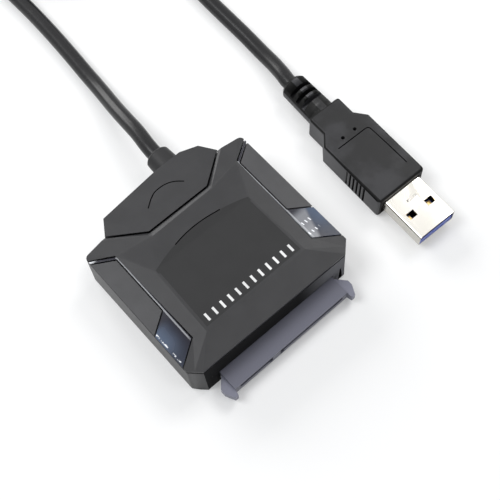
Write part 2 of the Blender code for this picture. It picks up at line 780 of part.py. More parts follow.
def make_receptacle(shop):
    body = boxes("sata_housing", [((-BODY_HALF, BODY_FRONT, BODY_BOTTOM), (BODY_HALF, BODY_REAR, BODY_TOP))])
    housing = shop.add("sata_housing", body, "receptacle")
    for side, sign in (("left", -1), ("right", 1)):
        arm = plate(side + "_arm", [arm_outline(sign)], ARM_BOTTOM, ARM_TOP)
        shop.combine(housing, "UNION", side + "_arm", arm)
    for label, (start, end, key_side) in zip(("signal", "power"), slot_spans()):
        slot_rear = BODY_FRONT + SLOT_DEPTH
        key_edge = end if key_side > 0 else start
        key = sorted((key_edge, key_edge - key_side * KEY_WIDTH))
        profile = [
            (start, SLOT_TOP),
            (start, SLOT_BOTTOM),
            (key[0], SLOT_BOTTOM),
            (key[0], SLOT_BOTTOM - KEY_DROP),
            (key[1], SLOT_BOTTOM - KEY_DROP),
            (key[1], SLOT_BOTTOM),
            (end, SLOT_BOTTOM),
            (end, SLOT_TOP),
        ]
        profile = [point for number, point in enumerate(profile) if point != profile[number - 1]]
        slot = stand_along_y(plate(label + "_slot", [profile], -slot_rear, OPEN_END - BODY_FRONT))
        shop.combine(housing, "DIFFERENCE", label + "_slot", slot)
        low = (start + KEY_WIDTH / 2, slot_rear - SEAT, SLOT_BOTTOM)
        high = (end - KEY_WIDTH / 2, BODY_REAR + OPEN_END, SLOT_BOTTOM + TAIL_TUNNEL)
        shop.combine(housing, "DIFFERENCE", label + "_tunnel", boxes(label + "_tunnel", [(low, high)]))


def contact_profile():
    """A spring contact seen from its side: a flat tail over the board, an arch and a dipped tip."""
    low = SLOT_BOTTOM + SEAT
    arch_rear, arch_front, tip = (BODY_FRONT + share * SLOT_DEPTH for share in CONTACT_STATIONS)
    line = [
        (BOARD_FRONT + CONTACT_TAIL, low),
        (BODY_FRONT + SLOT_DEPTH, low),
        (arch_rear, low + CONTACT_ARCH),
        (arch_front, low + CONTACT_ARCH),
        (tip, low),
    ]
    return line + [(y, z + CONTACT_THICKNESS) for y, z in reversed(line)]


def make_contacts(shop):
    flat = plate("receptacle_contact", [contact_profile()], -CONTACT_WIDTH / 2, CONTACT_WIDTH / 2)
    mesh = stand_along_x(flat)
    (signal_start, _, _), (power_start, _, _) = slot_spans()
    for label, count, start in (
        ("signal", SIGNAL_CONTACTS, signal_start + SLOT_END_ROOM),
        ("power", POWER_CONTACTS, power_start + SLOT_KEY_ROOM),
    ):
        for number in range(count):
            contact = shop.add(f"{label}_contact_{number + 1}", mesh, "gold")
            contact.location.x = start + number * CONTACT_PITCH


def make_board(shop):
    outline = [
        (-BOARD_HALF, BOARD_FRONT),
        (BOARD_HALF, BOARD_FRONT),
        (BOARD_HALF, BOARD_REAR - BOARD_CORNER),
        (BOARD_HALF - BOARD_CORNER, BOARD_REAR),
        (BOARD_CORNER - BOARD_HALF, BOARD_REAR),
        (-BOARD_HALF, BOARD_REAR - BOARD_CORNER),
    ]
    shop.add("circuit_board", plate("circuit_board", [outline], BOARD_BOTTOM, BOARD_TOP), "board")
    for name, side, offset, y, (width, depth, height), finish in BOARD_PARTS:
        bm = bmesh.new()
        base = BOARD_TOP + SEAT
        add_box(bm, (-width / 2, -depth / 2, base), (width / 2, depth / 2, base + height))
        item = shop.add(name, finish_bmesh(bm, name), finish)
        item.location = (side * (BOARD_HALF - offset), y, 0)
        bevel = item.modifiers.new("edges", "BEVEL")
        bevel.width = CHIP_EDGE
        bevel.segments = 1
    for name, side, offset, y, diameter, height in BOARD_CANS:
        bm = bmesh.new()
        base = BOARD_TOP + SEAT
        bmesh.ops.create_cone(
            bm,
            cap_ends=True,
            segments=20,
            radius1=diameter / 2,
            radius2=diameter / 2,
            depth=height,
            matrix=Matrix.Translation((0, 0, base + height / 2)),
        )
        item = shop.add(name, finish_bmesh(bm, name), "tin")
        item.location = (side * (BOARD_HALF - offset), y, 0)


def make_grommet(shop):
    outer = PLATE_REAR + SEAT
    inner = PLATE_REAR - WALL - SEAT
    stations = [
        (inner - FLANGE_THICKNESS, GROMMET_FLANGE),
        (inner, GROMMET_FLANGE),
        (inner, GROMMET_NECK),
        (outer, GROMMET_NECK),
        (outer, GROMMET_BASE),
        (GROMMET_END - GROMMET_ROUNDING, GROMMET_TIP),
        (GROMMET_END, GROMMET_TIP - 2 * GROMMET_ROUNDING),
    ]
    grommet = shop.add("cable_grommet", turned_profile("cable_grommet", stations), "case")
    grommet.location = (GROMMET_X, 0, GROMMET_Z)
    turn_on_axis(grommet, "Y", ROUND_STEPS)


def make_wires(shop):
    start_y = PLATE_REAR - WALL - FLANGE_THICKNESS - 2 * SEAT
    rest_z = BOARD_TOP + SEAT + WIRE / 2
    middle = (len(WIRE_COLOURS) - 1) / 2
    after_lead, after_bend = WIRE_SHARES
    for number, (name, _) in enumerate(WIRE_COLOURS):
        angle = math.pi / 2 - BUNDLE_STEP * BUNDLE_PLACES[number]
        start_x = GROMMET_X + BUNDLE_RADIUS * math.cos(angle)
        start_z = GROMMET_Z + BUNDLE_RADIUS * math.sin(angle)
        pad_x = GROMMET_X + (number - middle) * WIRE_PAD_PITCH
        route = [
            (start_x, start_y, start_z),
            (start_x + after_lead * (pad_x - start_x), start_y - WIRE_LEAD, start_z),
            (start_x + after_bend * (pad_x - start_x), start_y - WIRE_BEND, (start_z + rest_z) / 2),
            (pad_x, WIRE_PAD_Y + WIRE_PAD_RUN, rest_z),
            (pad_x, WIRE_PAD_Y, rest_z),
        ]
        shop.add(name, tube(name, smooth_points(route, WIRE_STEP), WIRE), name)


def make_overmould(shop):
    half, neck = MOULD_HALF, MOULD_NECK_HALF
    outline = [
        (-half, 0),
        (half, 0),
        (half, MOULD_SHOULDER),
        (neck, MOULD_NECK),
        (neck, MOULD_REAR),
        (-neck, MOULD_REAR),
        (-neck, MOULD_NECK),
        (-half, MOULD_SHOULDER),
    ]
    mesh = plate("plug_overmould", [outline], 0, MOULD_HEIGHT)
    mould = shop.add("plug_overmould", mesh, "mould", shop.plug_frame)
    bevel = mould.modifiers.new("edges", "BEVEL")
    bevel.width = MOULD_ROUNDING
    bevel.segments = 3
    bevel.limit_method = "ANGLE"
    bevel.angle_limit = MOULD_EDGE_ANGLE
    stations = [
        (MOULD_REAR - OPEN_END, RELIEF_BASE),
        (MOULD_REAR + OPEN_END, RELIEF_BASE),
        (RELIEF_END - MOULD_ROUNDING, RELIEF_TIP),
        (RELIEF_END, RELIEF_TIP - RELIEF_TIP_ROUNDING),
    ]
    relief = shop.combine(mould, "UNION", "strain_relief", turned_profile("strain_relief", stations))
    relief.location.z = PLUG_AXIS_Z
    turn_on_axis(relief, "Y", ROUND_STEPS)
    slots = []
    for number in range(RELIEF_SLOTS):
        middle = RELIEF_SLOT_FIRST + number * RELIEF_SLOT_PITCH
        for low, high in ((RELIEF_CORE, RELIEF_BASE), (-RELIEF_BASE, -RELIEF_CORE)):
            slots.append(
                (
                    (-RELIEF_BASE, middle - RELIEF_SLOT_WIDTH / 2, PLUG_AXIS_Z + low),
                    (RELIEF_BASE, middle + RELIEF_SLOT_WIDTH / 2, PLUG_AXIS_Z + high),
                )
            )
    shop.combine(mould, "DIFFERENCE", "relief_slots", boxes("relief_slots", slots))
    grips = []
    for number in range(GRIP_GROOVES):
        middle = GRIP_FIRST + number * GRIP_PITCH
        for sign in (-1, 1):
            edge = sorted((sign * (half - GRIP_DEPTH), sign * (half + OPEN_END)))
            grips.append(
                (
                    (edge[0], middle - GRIP_WIDTH / 2, MOULD_ROUNDING),
                    (edge[1], middle + GRIP_WIDTH / 2, MOULD_HEIGHT - MOULD_ROUNDING),
                )
            )
    shop.combine(mould, "DIFFERENCE", "grip_grooves", boxes("grip_grooves", grips))
    pocket = boxes(
        "shell_pocket",
        [
            (
                (-SHELL_WIDTH / 2 - SEAT, -OPEN_END, PLUG_AXIS_Z - SHELL_HEIGHT / 2 - SEAT),
                (SHELL_WIDTH / 2 + SEAT, SHELL_BURIED + SEAT, PLUG_AXIS_Z + SHELL_HEIGHT / 2 + SEAT),
            )
        ],
    )
    shop.combine(mould, "DIFFERENCE", "shell_pocket", pocket)


def rounded_rectangle(width, height, radius, centre_z, steps=3):
    x, z = width / 2, height / 2
    corners = [(-x, -z), (x, -z), (x, z), (-x, z)]
    points = []
    for number, corner in enumerate(corners):
        points += rounded_corner(corners[number - 1], corner, corners[(number + 1) % 4], radius, steps)
    return [(across, up + centre_z) for across, up in points]


def make_shell(shop):
    outer = rounded_rectangle(SHELL_WIDTH, SHELL_HEIGHT, SHELL_CORNER, PLUG_AXIS_Z)
    inner = rounded_rectangle(
        SHELL_WIDTH - 2 * SHELL_WALL,
        SHELL_HEIGHT - 2 * SHELL_WALL,
        SHELL_CORNER - SHELL_WALL,
        PLUG_AXIS_Z,
    )
    mesh = stand_along_y(plate("plug_shell", [outer, inner], -SHELL_BURIED, SHELL_EXPOSED))
    shell = shop.add("plug_shell", mesh, "shell", shop.plug_frame)
    width, depth = LATCH_HOLE
    middle = LATCH_FROM_TIP - SHELL_EXPOSED
    holes = boxes(
        "latch_holes",
        [
            (
                (sign * LATCH_SPACING / 2 - width / 2, middle - depth / 2, PLUG_AXIS_Z - SHELL_HEIGHT),
                (sign * LATCH_SPACING / 2 + width / 2, middle + depth / 2, PLUG_AXIS_Z + SHELL_HEIGHT),
            )
            for sign in (-1, 1)
        ],
    )
    shop.combine(shell, "DIFFERENCE", "latch_holes", holes)


def tongue_levels():
    bottom = PLUG_AXIS_Z - SHELL_HEIGHT / 2 + SHELL_WALL + SEAT
    return bottom, bottom + TONGUE_THICKNESS, PLUG_AXIS_Z + SHELL_HEIGHT / 2 - SHELL_WALL - SEAT


def pad_places():
    """Each contact row of the tongue as (label, x positions, width, front end, rear end)."""
    tip = TONGUE_RECESS - SHELL_EXPOSED
    rows = []
    front = tip + PAD_SETBACK
    for label, count, pitch, (width, length) in (
        ("pad", FRONT_PADS, FRONT_PAD_PITCH, FRONT_PAD),
        ("spring", REAR_PADS, REAR_PAD_PITCH, REAR_PAD),
    ):
        places = [(number - (count - 1) / 2) * pitch for number in range(count)]
        rows.append((label, places, width, front, front + length))
        front += length + 2 * SEAT
    return rows


def make_tongue(shop):
    bottom, top, ceiling = tongue_levels()
    tip = TONGUE_RECESS - SHELL_EXPOSED
    half = SHELL_WIDTH / 2 - SHELL_WALL - SEAT
    profile = [
        (tip, bottom),
        (SHELL_BURIED - SEAT, bottom),
        (SHELL_BURIED - SEAT, ceiling),
        (-TONGUE_BASE, ceiling),
        (-TONGUE_BASE, top),
        (tip, top),
    ]
    mesh = stand_along_x(plate("plug_tongue", [profile], -half, half))
    tongue = shop.add("plug_tongue", mesh, "tongue", shop.plug_frame)
    channels = []
    for _, places, width, front, rear in pad_places():
        for x in places:
            channels.append(
                (
                    (x - width / 2 - SEAT / 2, front - SEAT / 2, top - PAD_THICKNESS - SEAT),
                    (x + width / 2 + SEAT / 2, rear + SEAT / 2, top + OPEN_END / 2),
                )
            )
    shop.combine(tongue, "DIFFERENCE", "pad_channels", boxes("pad_channels", channels))
    for label, places, width, front, rear in pad_places():
        mesh = boxes("plug_" + label, [((-width / 2, front, top - PAD_THICKNESS), (width / 2, rear, top))])
        for number, x in enumerate(places):
            pad = shop.add(f"plug_{label}_{number + 1}", mesh, "gold", shop.plug_frame)
            pad.location.x = x


def coil_profile():
    """Half of the coil's section as (radius, height), for two turns side by side and part of one on top."""
    lowest = CABLE_LIFT
    beside = CABLE + CABLE_LIFT
    top = beside + COIL_TOP_RISE
    spread = (TURN_STEP + CABLE) / 2
    shoulder = CABLE / 2
    return [
        (COIL_RADIUS + shoulder, top),
        (COIL_RADIUS + spread, beside),
        (COIL_RADIUS + spread, lowest),
        (COIL_RADIUS - spread, lowest),
        (COIL_RADIUS - spread, beside),
        (COIL_RADIUS - shoulder, top),
    ]


def make_coil(shop):
    bm = bmesh.new()
    ring = [bm.verts.new((radius, 0, height)) for radius, height in coil_profile()]
    for number, corner in enumerate(ring):
        bm.edges.new((corner, ring[(number + 1) % len(ring)]))
    mesh = bpy.data.meshes.new("cable_coil")
    bm.to_mesh(mesh)
    bm.free()
    coil = shop.add("cable_coil", mesh, "cable")
    coil.location = (*COIL_CENTRE, 0)
    turn_on_axis(coil, "Z", COIL_STEPS)


def make_cable(shop):
    exit_y = GROMMET_END + SEAT
    route = [(GROMMET_X, exit_y, GROMMET_Z), (GROMMET_X, exit_y + STRAIGHT_RUN, GROMMET_Z)]
    route += [tuple(value * MM for value in point) for point in CASE_ROUTE]
    shop.add("cable_from_case", tube("cable_from_case", smooth_points(route, TUBE_STEP), CABLE), "cable")
    relief = Matrix.Translation((*PLUG_ORIGIN, 0)) @ Matrix.Rotation(PLUG_YAW, 4, "Z")
    route = [tuple(value * MM for value in point) for point in PLUG_ROUTE]
    for run in (STRAIGHT_RUN, 0):
        route.append(tuple(relief @ Vector((0, RELIEF_END + SEAT + run, PLUG_AXIS_Z))))
    shop.add("cable_to_plug", tube("cable_to_plug", smooth_points(route, TUBE_STEP), CABLE), "cable")


def shade_round_pieces():
    cans = [name for name, *_ in BOARD_CANS]
    for name in ("cable_grommet", "plug_overmould", "plug_shell", "cable_coil", *cans):
        mesh = bpy.data.objects[name].data
        mesh.shade_smooth()
        mesh.set_sharp_from_angle(angle=SMOOTH_ANGLE)


def main():
    clear_scene()
    shop = Workshop()
    make_bottom_case(shop)
    make_top_cover(shop)
    make_strips(shop)
    make_board(shop)
    make_receptacle(shop)
    make_contacts(shop)
    make_grommet(shop)
    make_wires(shop)
    make_cable(shop)
    make_coil(shop)
    make_overmould(shop)
    make_shell(shop)
    make_tongue(shop)
    shade_round_pieces()


main()
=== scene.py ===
"""Looks of an adapter from a USB plug to a drive's receptacle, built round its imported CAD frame."""

import math

import bmesh
import bpy
from mathutils import Matrix, Vector
from mathutils.bvhtree import BVHTree


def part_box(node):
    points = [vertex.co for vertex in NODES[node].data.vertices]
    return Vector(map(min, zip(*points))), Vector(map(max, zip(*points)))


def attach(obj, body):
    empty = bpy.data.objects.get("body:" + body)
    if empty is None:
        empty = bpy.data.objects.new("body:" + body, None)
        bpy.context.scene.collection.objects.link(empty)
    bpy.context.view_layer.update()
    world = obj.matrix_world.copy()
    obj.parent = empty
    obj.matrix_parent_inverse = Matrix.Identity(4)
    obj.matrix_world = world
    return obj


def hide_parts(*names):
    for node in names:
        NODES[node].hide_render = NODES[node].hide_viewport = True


bl_info = {
    "name": "Drive adapter",
    "version": (1, 0, 0),
    "blender": (4, 5, 0),
    "location": "View3D > Sidebar > Adapter",
    "description": "Dresses the CAD frame of a plug-to-drive adapter with detailed pieces and finishes",
    "category": "Object",
}

MM = 0.001
BODY = "root"

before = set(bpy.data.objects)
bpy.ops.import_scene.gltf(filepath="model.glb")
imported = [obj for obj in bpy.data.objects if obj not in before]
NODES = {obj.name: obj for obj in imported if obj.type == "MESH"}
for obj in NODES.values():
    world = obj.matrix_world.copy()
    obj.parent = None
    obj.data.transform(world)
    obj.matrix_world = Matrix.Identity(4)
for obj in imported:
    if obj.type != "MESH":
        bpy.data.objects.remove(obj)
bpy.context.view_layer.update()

# The CAD measures the case back from its front wall, and the frame is centred, so y moves by this
FRONT_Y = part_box("bottom_case")[0].y

# Camera, found from the case's corners in the picture
CAMERA_PLACE = (-54.61, -60.82, 235.96)
CAMERA_AZIMUTH = math.radians(-37.99)
CAMERA_ELEVATION = math.radians(66.23)
CAMERA_ROLL = math.radians(-3.77)
SENSOR = 36.0
FOCAL = 1006.3 / 500 * SENSOR

# Cable: its route out of the case, within 0.4 mm of the CAD's, and its route to the plug, as in the CAD.
# These points and the coil's sizes are in millimetres. LIE is the height of a flat cable's middle
CABLE = 4.4 * MM
CABLE_STEP = 1.6
LIE = 2.25
CASE_ROUTE = [
    (6.9, 54.65, 8.0),
    (6.9, 56.45, 8.0),
    (7.05, 58.5, 8.0),
    (7.7, 63.5, 7.5),
    (8.15, 69.0, 6.4),
    (8.7, 74.5, 5.0),
    (9.4, 80.0, 3.7),
    (10.0, 85.5, 2.75),
    (10.4, 91.0, 2.35),
    (10.9, 98.0, LIE),
    (11.35, 107.0, LIE),
    (11.55, 116.0, LIE),
    (11.45, 124.0, LIE),
    (11.3, 130.8, LIE),
    (11.2, 138.0, LIE),
]
PLUG_ROUTE = [
    (55.75, 124.7, 5.5),
    (54.85, 118.5, 4.0),
    (53.9, 112.0, 2.75),
    (53.0, 105.0, LIE),
    (52.1, 96.5, LIE),
    (51.55, 87.5, LIE),
    (51.35, 79.0, LIE),
    (51.2, 71.0, LIE),
    (50.8, 63.0, 2.35),
    (50.3, 57.2, 3.1),
    (49.5, 52.6, 3.95),
    (49.08, 50.55, 4.1),
    (49.03, 48.75, 4.1),
]

# Coil between the two routes: its turns' radii, its first and last angle, and where it steps inwards and
# then on top, as the angle that the step starts at and the degrees that it takes
COIL_CENTRE = (36.0, 146.0)
COIL_OUTER = 24.8
COIL_INNER = 20.2
COIL_TOP = 22.5
COIL_ANGLES = (180, -729)
COIL_STEP = 6
STEP_INWARDS = (-60, 120)
STEP_ON_TOP = (-430, 110)
STRAND_GAP = 4.45
OFF_COIL = [(5.0, 6.5), (10.0, 6.4)]
TIE_THICKNESS = 0.5
TIE_GAP = 0.08

# Case: half its width, the height of its rim, and how far its front wall leans back at the rim
SIDE = 25.3 * MM
RIM = 12.5 * MM
LEAN_LEFT = 0.9 * MM
LEAN_RIGHT = 0.5 * MM
LEAN_REACH = 3.3 * MM
LEAN_SPAN = 44.8 * MM
LEAN_LOSS = 0.2

# Where the outline's front part ends and its rear part starts, and how near two places count as one
OUTLINE_FRONT = 3.0 * MM
OUTLINE_REAR = 42.0 * MM
NEAR = 0.02 * MM

# Seam under the rim: the tray's upper edge and the cover's lower edge, each in the CAD and as dressed
TRAY_EDGE = (11.6 * MM, 11.25 * MM)
BAND_EDGE = (11.9 * MM, 12.28 * MM)
LEAST_BAND = 0.1 * MM

# Rounding under the case: how high it reaches, and how much of it is filled
FOOT = 0.7 * MM
FOOT_FILL = 0.5 * MM

# Fills, as two corners of the right-hand box: beside the receptacle, and where the strips end
WALL_FILL = ((18.45, 0.05, 0.15), (21.6, 1.5, 6.8))
CORNER_FILL = ((24.3, 4.2, 10.5), (25.2, 5.3, 12.3))

# Slit at the receptacle's right-hand end: its corners across and up, and its reach through the wall
SLIT = ((20.4, 0.3), (21.65, 0.3), (21.2, 5.8), (20.85, 5.8))
SLIT_REACH = (-1.0, 1.2)
FRONT_END = 21.9 * MM

# Creases between the cover's facets: the angles between their faces, and the height that they lie above
CREASE_ANGLES = (2.5, 28.0)
CREASE_FLOOR = 12.6 * MM

# Plateau: its height in millimetres, its tone beside the case's, the arc that its dark band ends at, and
# its row of bars
PLATEAU_TOP = 13.97
PLATEAU_TONE = 0.45
ARC_MIDDLE = 30.15
ARC_FALL = 0.0128
MARK_ROW = 10.1
MARK_THICKNESS = 0.03 * MM

# Engraved lines in plan, in millimetres: the crescent, the plateau's rear line, the rear plate's seam
CRESCENT = [
    (6.01, 41.73),
    (4.69, 42.99),
    (3.38, 43.82),
    (1.84, 44.35),
    (0.23, 44.51),
    (-1.37, 44.37),
    (-2.67, 43.82),
    (-3.97, 42.99),
    (-5.41, 41.88),
]
ARC = [(-6.9, 29.45), (-4.64, 29.87), (-2.48, 30.13), (-0.04, 30.2), (2.35, 30.1), (4.62, 29.83), (7.3, 29.4)]
HALF_SEAM = [(0.0, 36.6), (4.7, 36.6), (9.38, 36.6), (13.8, 39.86), (17.95, 42.92)]
SEAM = [(-x, y) for x, y in HALF_SEAM[:0:-1]] + HALF_SEAM
SEAM_HALF = 0.17 * MM
SEAM_DEPTH = 0.6 * MM
LINE_STEP = 0.5

# USB plug in its own frame: the moulding's front face is y = 0 and the shell points to -Y
PLUG_PLACE = (47.66 * MM, 5.74 * MM)
PLUG_YAW = math.radians(-1.82)
PLUG_AXIS_Z = 4.1 * MM
MOULD_TOP = 8.2 * MM
MOULD_FRONT = 8.0 * MM

# Plug's moulding, in its frame: the L-shaped line, the two holes, the grip's grooves, the strain relief
PANEL_LINE = [
    (-5.3, 18.4),
    (-2.0, 18.4),
    (1.5, 18.4),
    (4.1, 18.4),
    (4.75, 18.25),
    (5.08, 17.7),
    (5.15, 16.9),
    (5.3, 12.0),
    (5.42, 4.2),
]
HOLES = ((1.85, 20.1), (-2.26, 20.1))
HOLE_RADIUS = 0.5 * MM
HOLE_LENGTH = 2.4 * MM
GRIP = (3.5 * MM, 12.5 * MM)
GRIP_INSET = (0.05 * MM, 1.2 * MM)
RELIEF_START = 33.9 * MM
RELIEF_RADIUS = 3.9 * MM
RELIEF_SLOTS = (1.2 * MM, 6.8 * MM)

# Mark pressed into the shell: its points across, its place before the moulding, and the shell's half height
PRESSED_MARK = (-1.45, -0.5, 0.6, 1.7)
PRESSED_PLACE = -3.55
SHELL_HALF = 2.25 * MM

# Soft lamps: name, direction from the object, width and height in metres, radiance and tint
LAMPS = (
    ("rear_lamp", (-0.05, 0.92, 0.42), (0.8, 0.45), 6.0, (1.0, 0.995, 0.985)),
    ("right_lamp", (0.64, 0.12, 0.75), (0.38, 0.42), 5.9, (1.0, 0.995, 0.985)),
    ("left_lamp", (-0.43, 0.3, 0.85), (0.45, 0.45), 6.6, (0.98, 0.99, 1.0)),
    ("front_lamp", (0.24, -0.3, 0.92), (0.3, 0.3), 3.4, (1.0, 0.995, 0.99)),
)
LAMP_DISTANCE = 1.0
LAMP_TARGET = Vector((0.01, 0.0, 0.0))
WORLD_LIGHT = 0.26
FLOOR_HALF = 2.5


def plug_matrix():
    place = Matrix.Translation((PLUG_PLACE[0], PLUG_PLACE[1] + FRONT_Y, 0))
    return place @ Matrix.Rotation(PLUG_YAW, 4, "Z")


def case_point(x, y, z):
    """A point given in millimetres from the case's front wall, in the frame's metres."""
    return Vector((x * MM, y * MM + FRONT_Y, z * MM))


class Value:
    """A shader socket that Python's operators work on. Each step adds one Math node."""

    def __init__(self, finish, socket):
        self.finish = finish
        self.socket = socket

    def math(self, operation, *others):
        node = self.finish.node("ShaderNodeMath", {"operation": operation}, [self, *others])
        return Value(self.finish, node.outputs[0])

    def __add__(self, other):
        return self.math("ADD", other)

    def __sub__(self, other):
        return self.math("SUBTRACT", other)

    def __mul__(self, other):
        return self.math("MULTIPLY", other)

    def __rsub__(self, other):
        node = self.finish.node("ShaderNodeMath", {"operation": "SUBTRACT"}, [other, self])
        return Value(self.finish, node.outputs[0])

    __radd__ = __add__
    __rmul__ = __mul__

    def between(self, low, high, start=0.0, end=1.0):
        """The value's place between two marks, held at the ends and eased."""
        settings = {"interpolation_type": "SMOOTHSTEP"}
        names = {"Value": self, "From Min": low, "From Max": high, "To Min": start, "To Max": end}
        node = self.finish.node("ShaderNodeMapRange", settings, names)
        return Value(self.finish, node.outputs[0])

    def within(self, low, high, blur):
        """One between two marks, with soft edges inside them."""
        return self.between(low, low + blur) * self.between(high, high - blur)


class Finish:
    """One material with a Principled shader, and the nodes that feed it."""

    def __init__(self, name, **constants):
        self.material = bpy.data.materials.new(name)
        self.material.use_nodes = True
        self.tree = self.material.node_tree
        self.shader = self.tree.nodes["Principled BSDF"]
        for label, value in constants.items():
            self.feed(label.replace("_", " ").title().replace("Ior", "IOR"), value)
        self.places = None

    def node(self, kind, settings=None, sockets=None):
        """Adds a node, sets its settings first, then its sockets by name or by order."""
        node = self.tree.nodes.new(kind)
        for label, value in (settings or {}).items():
            setattr(node, label, value)
        pairs = sockets.items() if isinstance(sockets, dict) else enumerate(sockets or [])
        for label, value in pairs:
            self.join(node.inputs[label], value)
        return node

    def join(self, socket, value):
        if isinstance(value, Value):
            self.tree.links.new(value.socket, socket)
        elif socket.type == "RGBA" and len(value) == 3:
            socket.default_value = (*value, 1.0)
        else:
            socket.default_value = value

    def feed(self, label, value):
        self.join(self.shader.inputs[label], value)

    def coordinates(self):
        if self.places is None:
            self.places = Value(self, self.node("ShaderNodeTexCoord").outputs["Object"])
        return self.places

    def axes(self):
        node = self.node("ShaderNodeSeparateXYZ", None, [self.coordinates()])
        return [Value(self, socket) for socket in node.outputs]

    def stretched(self, scale, turn):
        settings = {"Vector": self.coordinates(), "Scale": scale, "Rotation": (0, 0, turn)}
        return Value(self, self.node("ShaderNodeMapping", None, settings).outputs[0])

    def noise(self, scale, detail=2.0, vector=None):
        sockets = {"Vector": vector or self.coordinates(), "Scale": scale, "Detail": detail}
        return Value(self, self.node("ShaderNodeTexNoise", None, sockets).outputs["Fac"])

    def mix(self, factor, first, second):
        node = self.node("ShaderNodeMix", {"data_type": "RGBA"})
        for socket, value in zip((node.inputs[0], node.inputs[6], node.inputs[7]), (factor, first, second)):
            self.join(socket, value)
        return Value(self, node.outputs[2])

    def mottled(self, colour):
        """A colour that varies a little from place to place."""
        return self.mix(self.noise(160.0, 3.0).between(0.3, 0.7), tone(colour, 0.92), tone(colour, 1.08))

    def bump(self, height, distance, strength):
        sockets = {"Height": height, "Distance": distance, "Strength": strength}
        self.feed("Normal", Value(self, self.node("ShaderNodeBump", None, sockets).outputs[0]))


def tone(colour, factor):
    return tuple(channel * factor for channel in colour)


def moulded(name, colour, roughness, grain=0.35, distance=0.012):
    """Moulded plastic: fine grain, slight mottling and an uneven sheen."""
    finish = Finish(name, specular_ior_level=0.28)
    speck = finish.noise(1000 / grain)
    finish.feed("Base Color", finish.mottled(colour))
    finish.feed("Roughness", roughness - 0.04 + 0.08 * finish.noise(420.0) + 0.05 * speck)
    finish.bump(speck, distance * MM, 0.6)
    return finish


def speckled(name, first, second, grains, roughness, **constants):
    """A finish that varies between two colours, and in its roughness."""
    finish = Finish(name, **constants)
    finish.feed("Base Color", finish.mix(finish.noise(grains[0]), first, second))
    finish.feed("Roughness", roughness[0] + roughness[1] * finish.noise(grains[1]))
    return finish


def painted_groove_shade():
    """Painted shade: the near-black that an engraved line, a slot or a hole shows, as next to no light comes
    back out of it.
    """
    if "painted_groove_shade" not in bpy.data.materials:
        colours = ((0.003, 0.003, 0.003), (0.007, 0.007, 0.008))
        speckled("painted_groove_shade", *colours, (900.0, 1500.0), (0.7, 0.15), specular_ior_level=0.05)
    return bpy.data.materials["painted_groove_shade"]


def add_piece(name, mesh, finish=None):
    piece = bpy.data.objects.new(name, mesh)
    bpy.context.scene.collection.objects.link(piece)
    if finish is not None:
        mesh.materials.clear()
        mesh.materials.append(finish.material)
    return piece


def settle(piece):
    """Puts what the piece's modifiers make into a plain mesh."""
    bpy.context.view_layer.update()
    graph = bpy.context.evaluated_depsgraph_get()
    mesh = bpy.data.meshes.new_from_object(piece.evaluated_get(graph))
    piece.modifiers.clear()
    piece.data = mesh
    return piece


def node_bmesh(node, flat=1.0):
    """A CAD node's solid with its loose triangles joined and its flat faces made whole."""
    merge = 0.002 * MM
    bm = bmesh.new()
    bm.from_mesh(NODES[node].data)
    bmesh.ops.remove_doubles(bm, verts=bm.verts, dist=merge)
    bmesh.ops.dissolve_degenerate(bm, dist=merge, edges=bm.edges)
    bmesh.ops.dissolve_limit(bm, angle_limit=math.radians(flat), verts=bm.verts, edges=bm.edges)
    return bm


def mesh_from(bm, name):
    mesh = bpy.data.meshes.new(name)
    bm.to_mesh(mesh)
    bm.free()
    return mesh


def dressed(name, node, finish, flat=1.0):
    """A piece with the shape of a CAD node's solid."""
    return add_piece(name, mesh_from(node_bmesh(node, flat), name), finish)


def soften(piece, width, angle=25.0):
    """Rounds the edges that are sharper than an angle."""
    bevel = piece.modifiers.new("edges", "BEVEL")
    bevel.width = width
    bevel.segments = 2
    bevel.limit_method = "ANGLE"
    bevel.angle_limit = math.radians(angle)
    bevel.miter_outer = "MITER_ARC"
    return settle(piece)


def smooth(piece, angle=30.0):
    piece.data.shade_smooth()
    piece.data.set_sharp_from_angle(angle=math.radians(angle))
    return piece


def even_out(piece, angle=50):
    """Smooth shading that leaves large faces flat, so that only the rounded edges between them turn."""
    smooth(piece, angle)
    weighting = piece.modifiers.new("weighting", "WEIGHTED_NORMAL")
    weighting.weight = 100
    weighting.keep_sharp = True
    return settle(piece)


def keep(piece, slot, *nodes):
    """Hands a finished piece to the frame."""
    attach(piece, BODY)
    if nodes:
        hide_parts(*nodes)


def carve(piece, cutter_mesh, operation="DIFFERENCE", material=None):
    """Cuts a shape from the piece, or joins it on. The new faces take the material, if one is given."""
    cutter = add_piece("cutter", cutter_mesh)
    boolean = piece.modifiers.new("carve", "BOOLEAN")
    boolean.operation = operation
    boolean.solver = "EXACT"
    if material is not None:
        cutter_mesh.materials.append(material)
        boolean.material_mode = "TRANSFER"
    boolean.object = cutter
    settle(piece)
    bpy.data.objects.remove(cutter)


def skin(bm, rings):
    """Joins rings of four points into one closed bar."""
    for near, far in zip(rings, rings[1:]):
        for corner in range(4):
            other = (corner + 1) % 4
            bm.faces.new((near[corner], near[other], far[other], far[corner]))
    bm.faces.new(rings[0][::-1])
    bm.faces.new(rings[-1])
    bmesh.ops.recalc_face_normals(bm, faces=bm.faces)


def ribbon(points, half_width, low, high):
    """A thin upright wall along a path in plan, to engrave a line with."""
    bm = bmesh.new()
    rings = []
    for index, point in enumerate(points):
        ahead = points[min(index + 1, len(points) - 1)] - points[max(index - 1, 0)]
        across = Vector((-ahead.y, ahead.x, 0)).normalized() * half_width
        top = point.z + high
        bottom = point.z - low
        corners = ((-across, top), (across, top), (across, bottom), (-across, bottom))
        rings.append([bm.verts.new((point.x + side.x, point.y + side.y, z)) for side, z in corners])
    skin(bm, rings)
    return mesh_from(bm, "ribbon")


def in_plan(points):
    return [Vector((x, y, 0)) for x, y in points]


